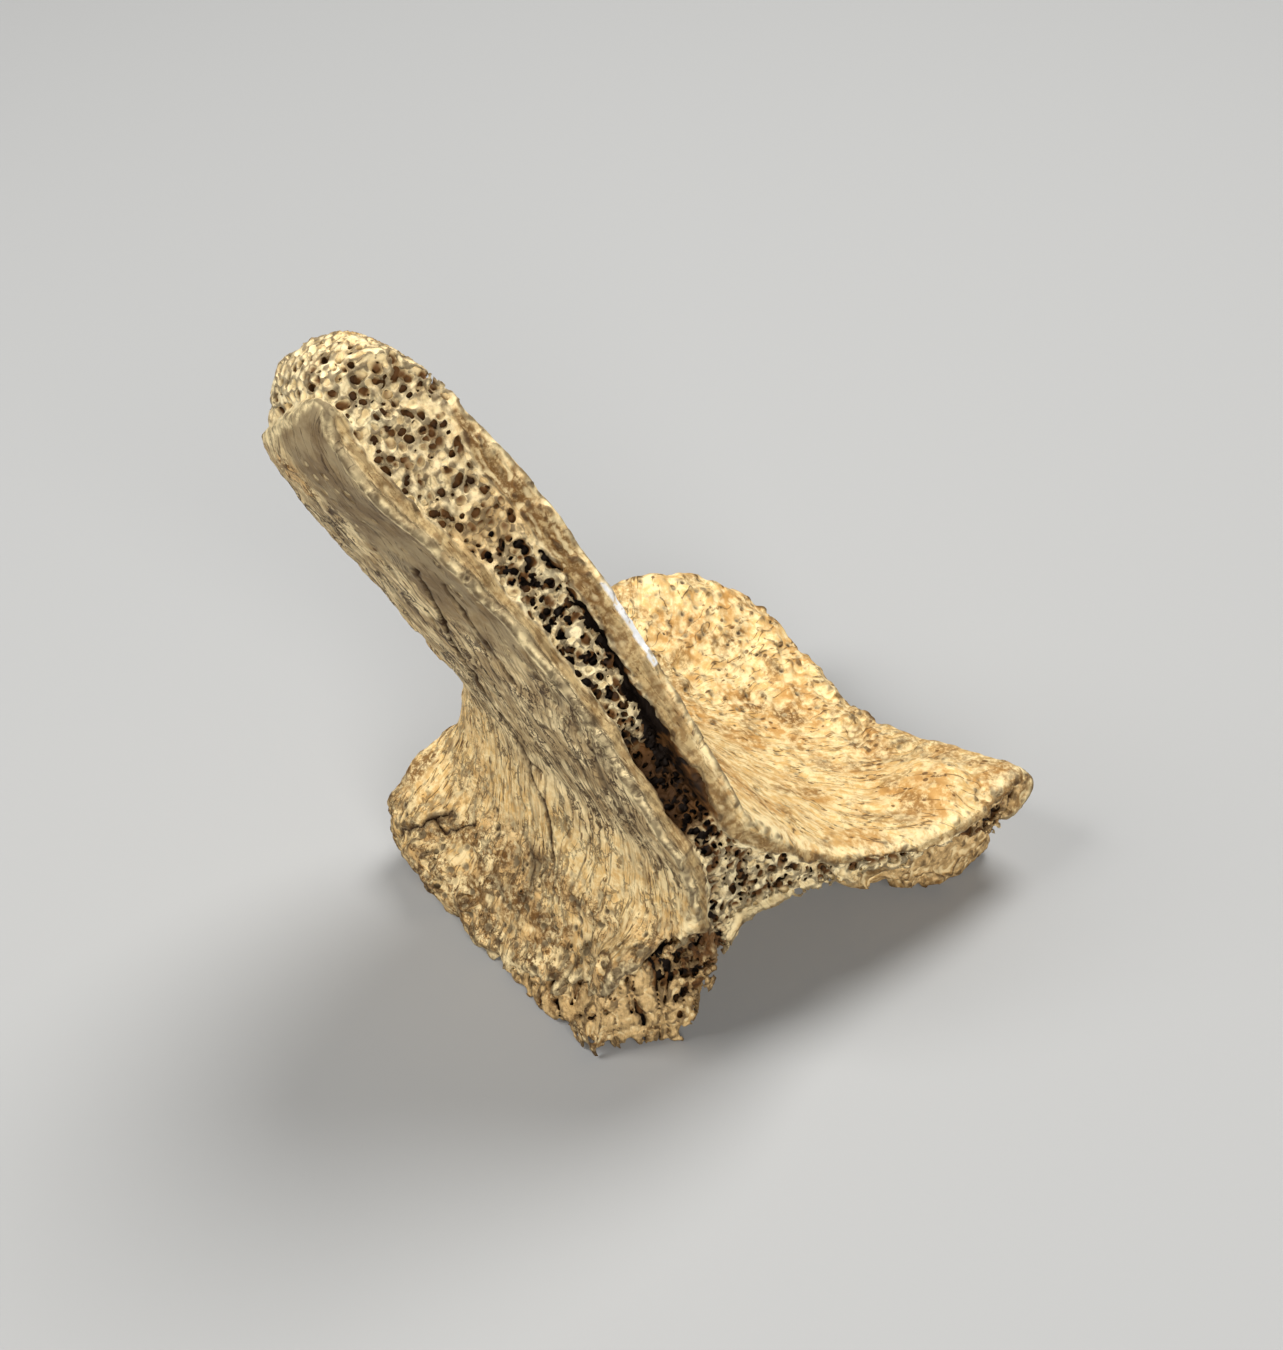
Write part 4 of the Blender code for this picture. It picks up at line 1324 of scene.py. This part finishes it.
def build_piece(name, chosen, points, quads, normals, values, material):
    """One mesh of the chosen faces, with the values that its material reads."""
    faces = quads[chosen]
    used, corners = np.unique(faces, return_inverse=True)
    corners = corners.reshape(-1).astype(np.int32)
    mesh = bpy.data.meshes.new(name)
    mesh.vertices.add(len(used))
    mesh.loops.add(len(corners))
    mesh.polygons.add(len(faces))
    world = to_world(points[used].T).T * MM
    mesh.vertices.foreach_set("co", world.astype(np.float32).ravel())
    mesh.loops.foreach_set("vertex_index", corners)
    mesh.polygons.foreach_set("loop_start", np.arange(0, len(corners), 4, dtype=np.int32))
    mesh.update(calc_edges=True)
    mesh.polygons.foreach_set("use_smooth", np.ones(len(faces), bool))
    for key, value in values.items():
        kind, field = ("FLOAT", "value") if value.ndim == 1 else ("FLOAT_VECTOR", "vector")
        layer = mesh.attributes.new(key, kind, "POINT")
        layer.data.foreach_set(field, value[used].astype(np.float32).ravel())
    layer = mesh.uv_layers.new(name="OFBake")
    places = map_places(points[faces], normals[faces].sum(axis=1) / 4)
    layer.data.foreach_set("uv", places.astype(np.float32).ravel())
    facing = (bone_matrix() @ normals[used].T).T
    mesh.normals_split_custom_set_from_vertices(facing.tolist())
    mesh.materials.append(material)
    return add_object(name, mesh)


def build_bone():
    points, triangles = whole_shape()
    low = points.min(0) - MARGIN
    high = points.max(0) + MARGIN
    low[1] = FRONT_Y
    grid = Grid(low, high)
    level = vdb.FloatGrid.createLevelSetFromPolygons(
        points, triangles=triangles, transform=vdb.createLinearTransform(STEP),
        exBandWidth=BAND_OUTSIDE, inBandWidth=BAND_INSIDE,
    )
    outer = np.empty(grid.shape, np.float32)
    level.copyToArray(outer, ijk=tuple(int(value) for value in grid.first))
    broken = (break_map(grid)[:, None, :] - grid.axes[1][None, :, None]) * cos(BLADE_LEAN / 2)
    add_gusset(grid, outer)
    solid, top, core = carve(grid, outer, broken)
    solid = finish_relief(grid, solid, top, core, outer, broken)
    points, quads = surface(grid, solid)
    normals = vertex_normals(points, quads)
    places = np.ascontiguousarray(points.T)
    rows = [grid.sample(block, places) for block in (outer, core, broken, top)]
    values = dict(zip(TONES, side_by_side(tones, places, *rows)))
    values[CURVE] = curvature(points, quads, normals)
    values["bone"] = points
    values["fibre"] = fibre_places(places, on_skin(rows[0], rows[2])).T
    middles = points[quads].mean(axis=1).T
    pieces = piece_of(middles, grid.sample(core, middles))
    material = bone_material()
    for number, (name, node_name, slot) in enumerate(PIECES):
        thing = build_piece(name, pieces == number, points, quads, normals, values, material)
        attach(thing, "root")
        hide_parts(node_name)
        print("piece", name, len(thing.data.polygons) * 2, "triangles")


# The photo's viewing angle: image width and focal length in pixels, the camera's place from the
# bone's origin in millimetres, and its tilt.
PHOTO_WIDTH = 1283
FOCAL_PIXELS = 2000
SENSOR = 36
CAMERA_FROM_BONE = (-9.8, -156.2, 168.3)
CAMERA_TILT = radians(48)
# Lamps: name, place in metres, size, power, colour.
LAMPS = (
    ("key", (0.14, 0.30, 0.70), 0.38, 5.8, (1, 0.98, 0.94)),
    ("left", (-0.54, -0.12, 0.61), 0.34, 3.6, (1, 0.98, 0.94)),
    ("fill", (0.16, -0.68, 0.42), 0.50, 4.6, (1, 0.97, 0.92)),
)
LAMP_TARGET = Vector((0, 0, 0.04))
FLOOR_SIZE = 4
FLOOR_DROP = 0.00005
FLOOR_GREY = (0.385, 0.392, 0.40, 1)
FLOOR_ROUGHNESS = 0.85
AIR_COLOUR = (0.97, 0.98, 1, 1)
AIR_STRENGTH = 0.065


def area_lamp(name, place, size, power, colour):
    data = bpy.data.lights.new(name, "AREA")
    data.shape = "DISK"
    data.size = size
    data.energy = power
    data.color = colour
    lamp = add_object(name, data)
    lamp.location = place
    lamp.rotation_euler = (LAMP_TARGET - Vector(place)).to_track_quat("-Z", "Y").to_euler()


def studio():
    """Plain pale floor, soft light and the camera."""
    bpy.ops.mesh.primitive_plane_add(size=FLOOR_SIZE, location=(0, 0, -FLOOR_DROP))
    floor = bpy.context.object
    floor.name = "floor"
    material = bpy.data.materials.new("floor")
    material.use_nodes = True
    shader = material.node_tree.nodes["Principled BSDF"]
    shader.inputs["Base Color"].default_value = FLOOR_GREY
    shader.inputs["Roughness"].default_value = FLOOR_ROUGHNESS
    floor.data.materials.append(material)

    world = bpy.data.worlds.new("studio")
    world.use_nodes = True
    air = world.node_tree.nodes["Background"]
    air.inputs["Color"].default_value = AIR_COLOUR
    air.inputs["Strength"].default_value = AIR_STRENGTH
    SCENE.world = world
    for lamp in LAMPS:
        area_lamp(*lamp)

    data = bpy.data.cameras.new("camera")
    data.sensor_fit = "HORIZONTAL"
    data.sensor_width = SENSOR
    data.lens = SENSOR * FOCAL_PIXELS / PHOTO_WIDTH
    data.clip_start = 0.01
    camera = add_object("camera", data)
    camera.location = (Vector(BONE_ORIGIN) + Vector(CAMERA_FROM_BONE)) * MM
    camera.rotation_euler = Euler((CAMERA_TILT, 0, 0))
    SCENE.camera = camera


build_bone()
studio()
SCENE.view_settings.view_transform = "Standard"
bpy.context.view_layer.update()
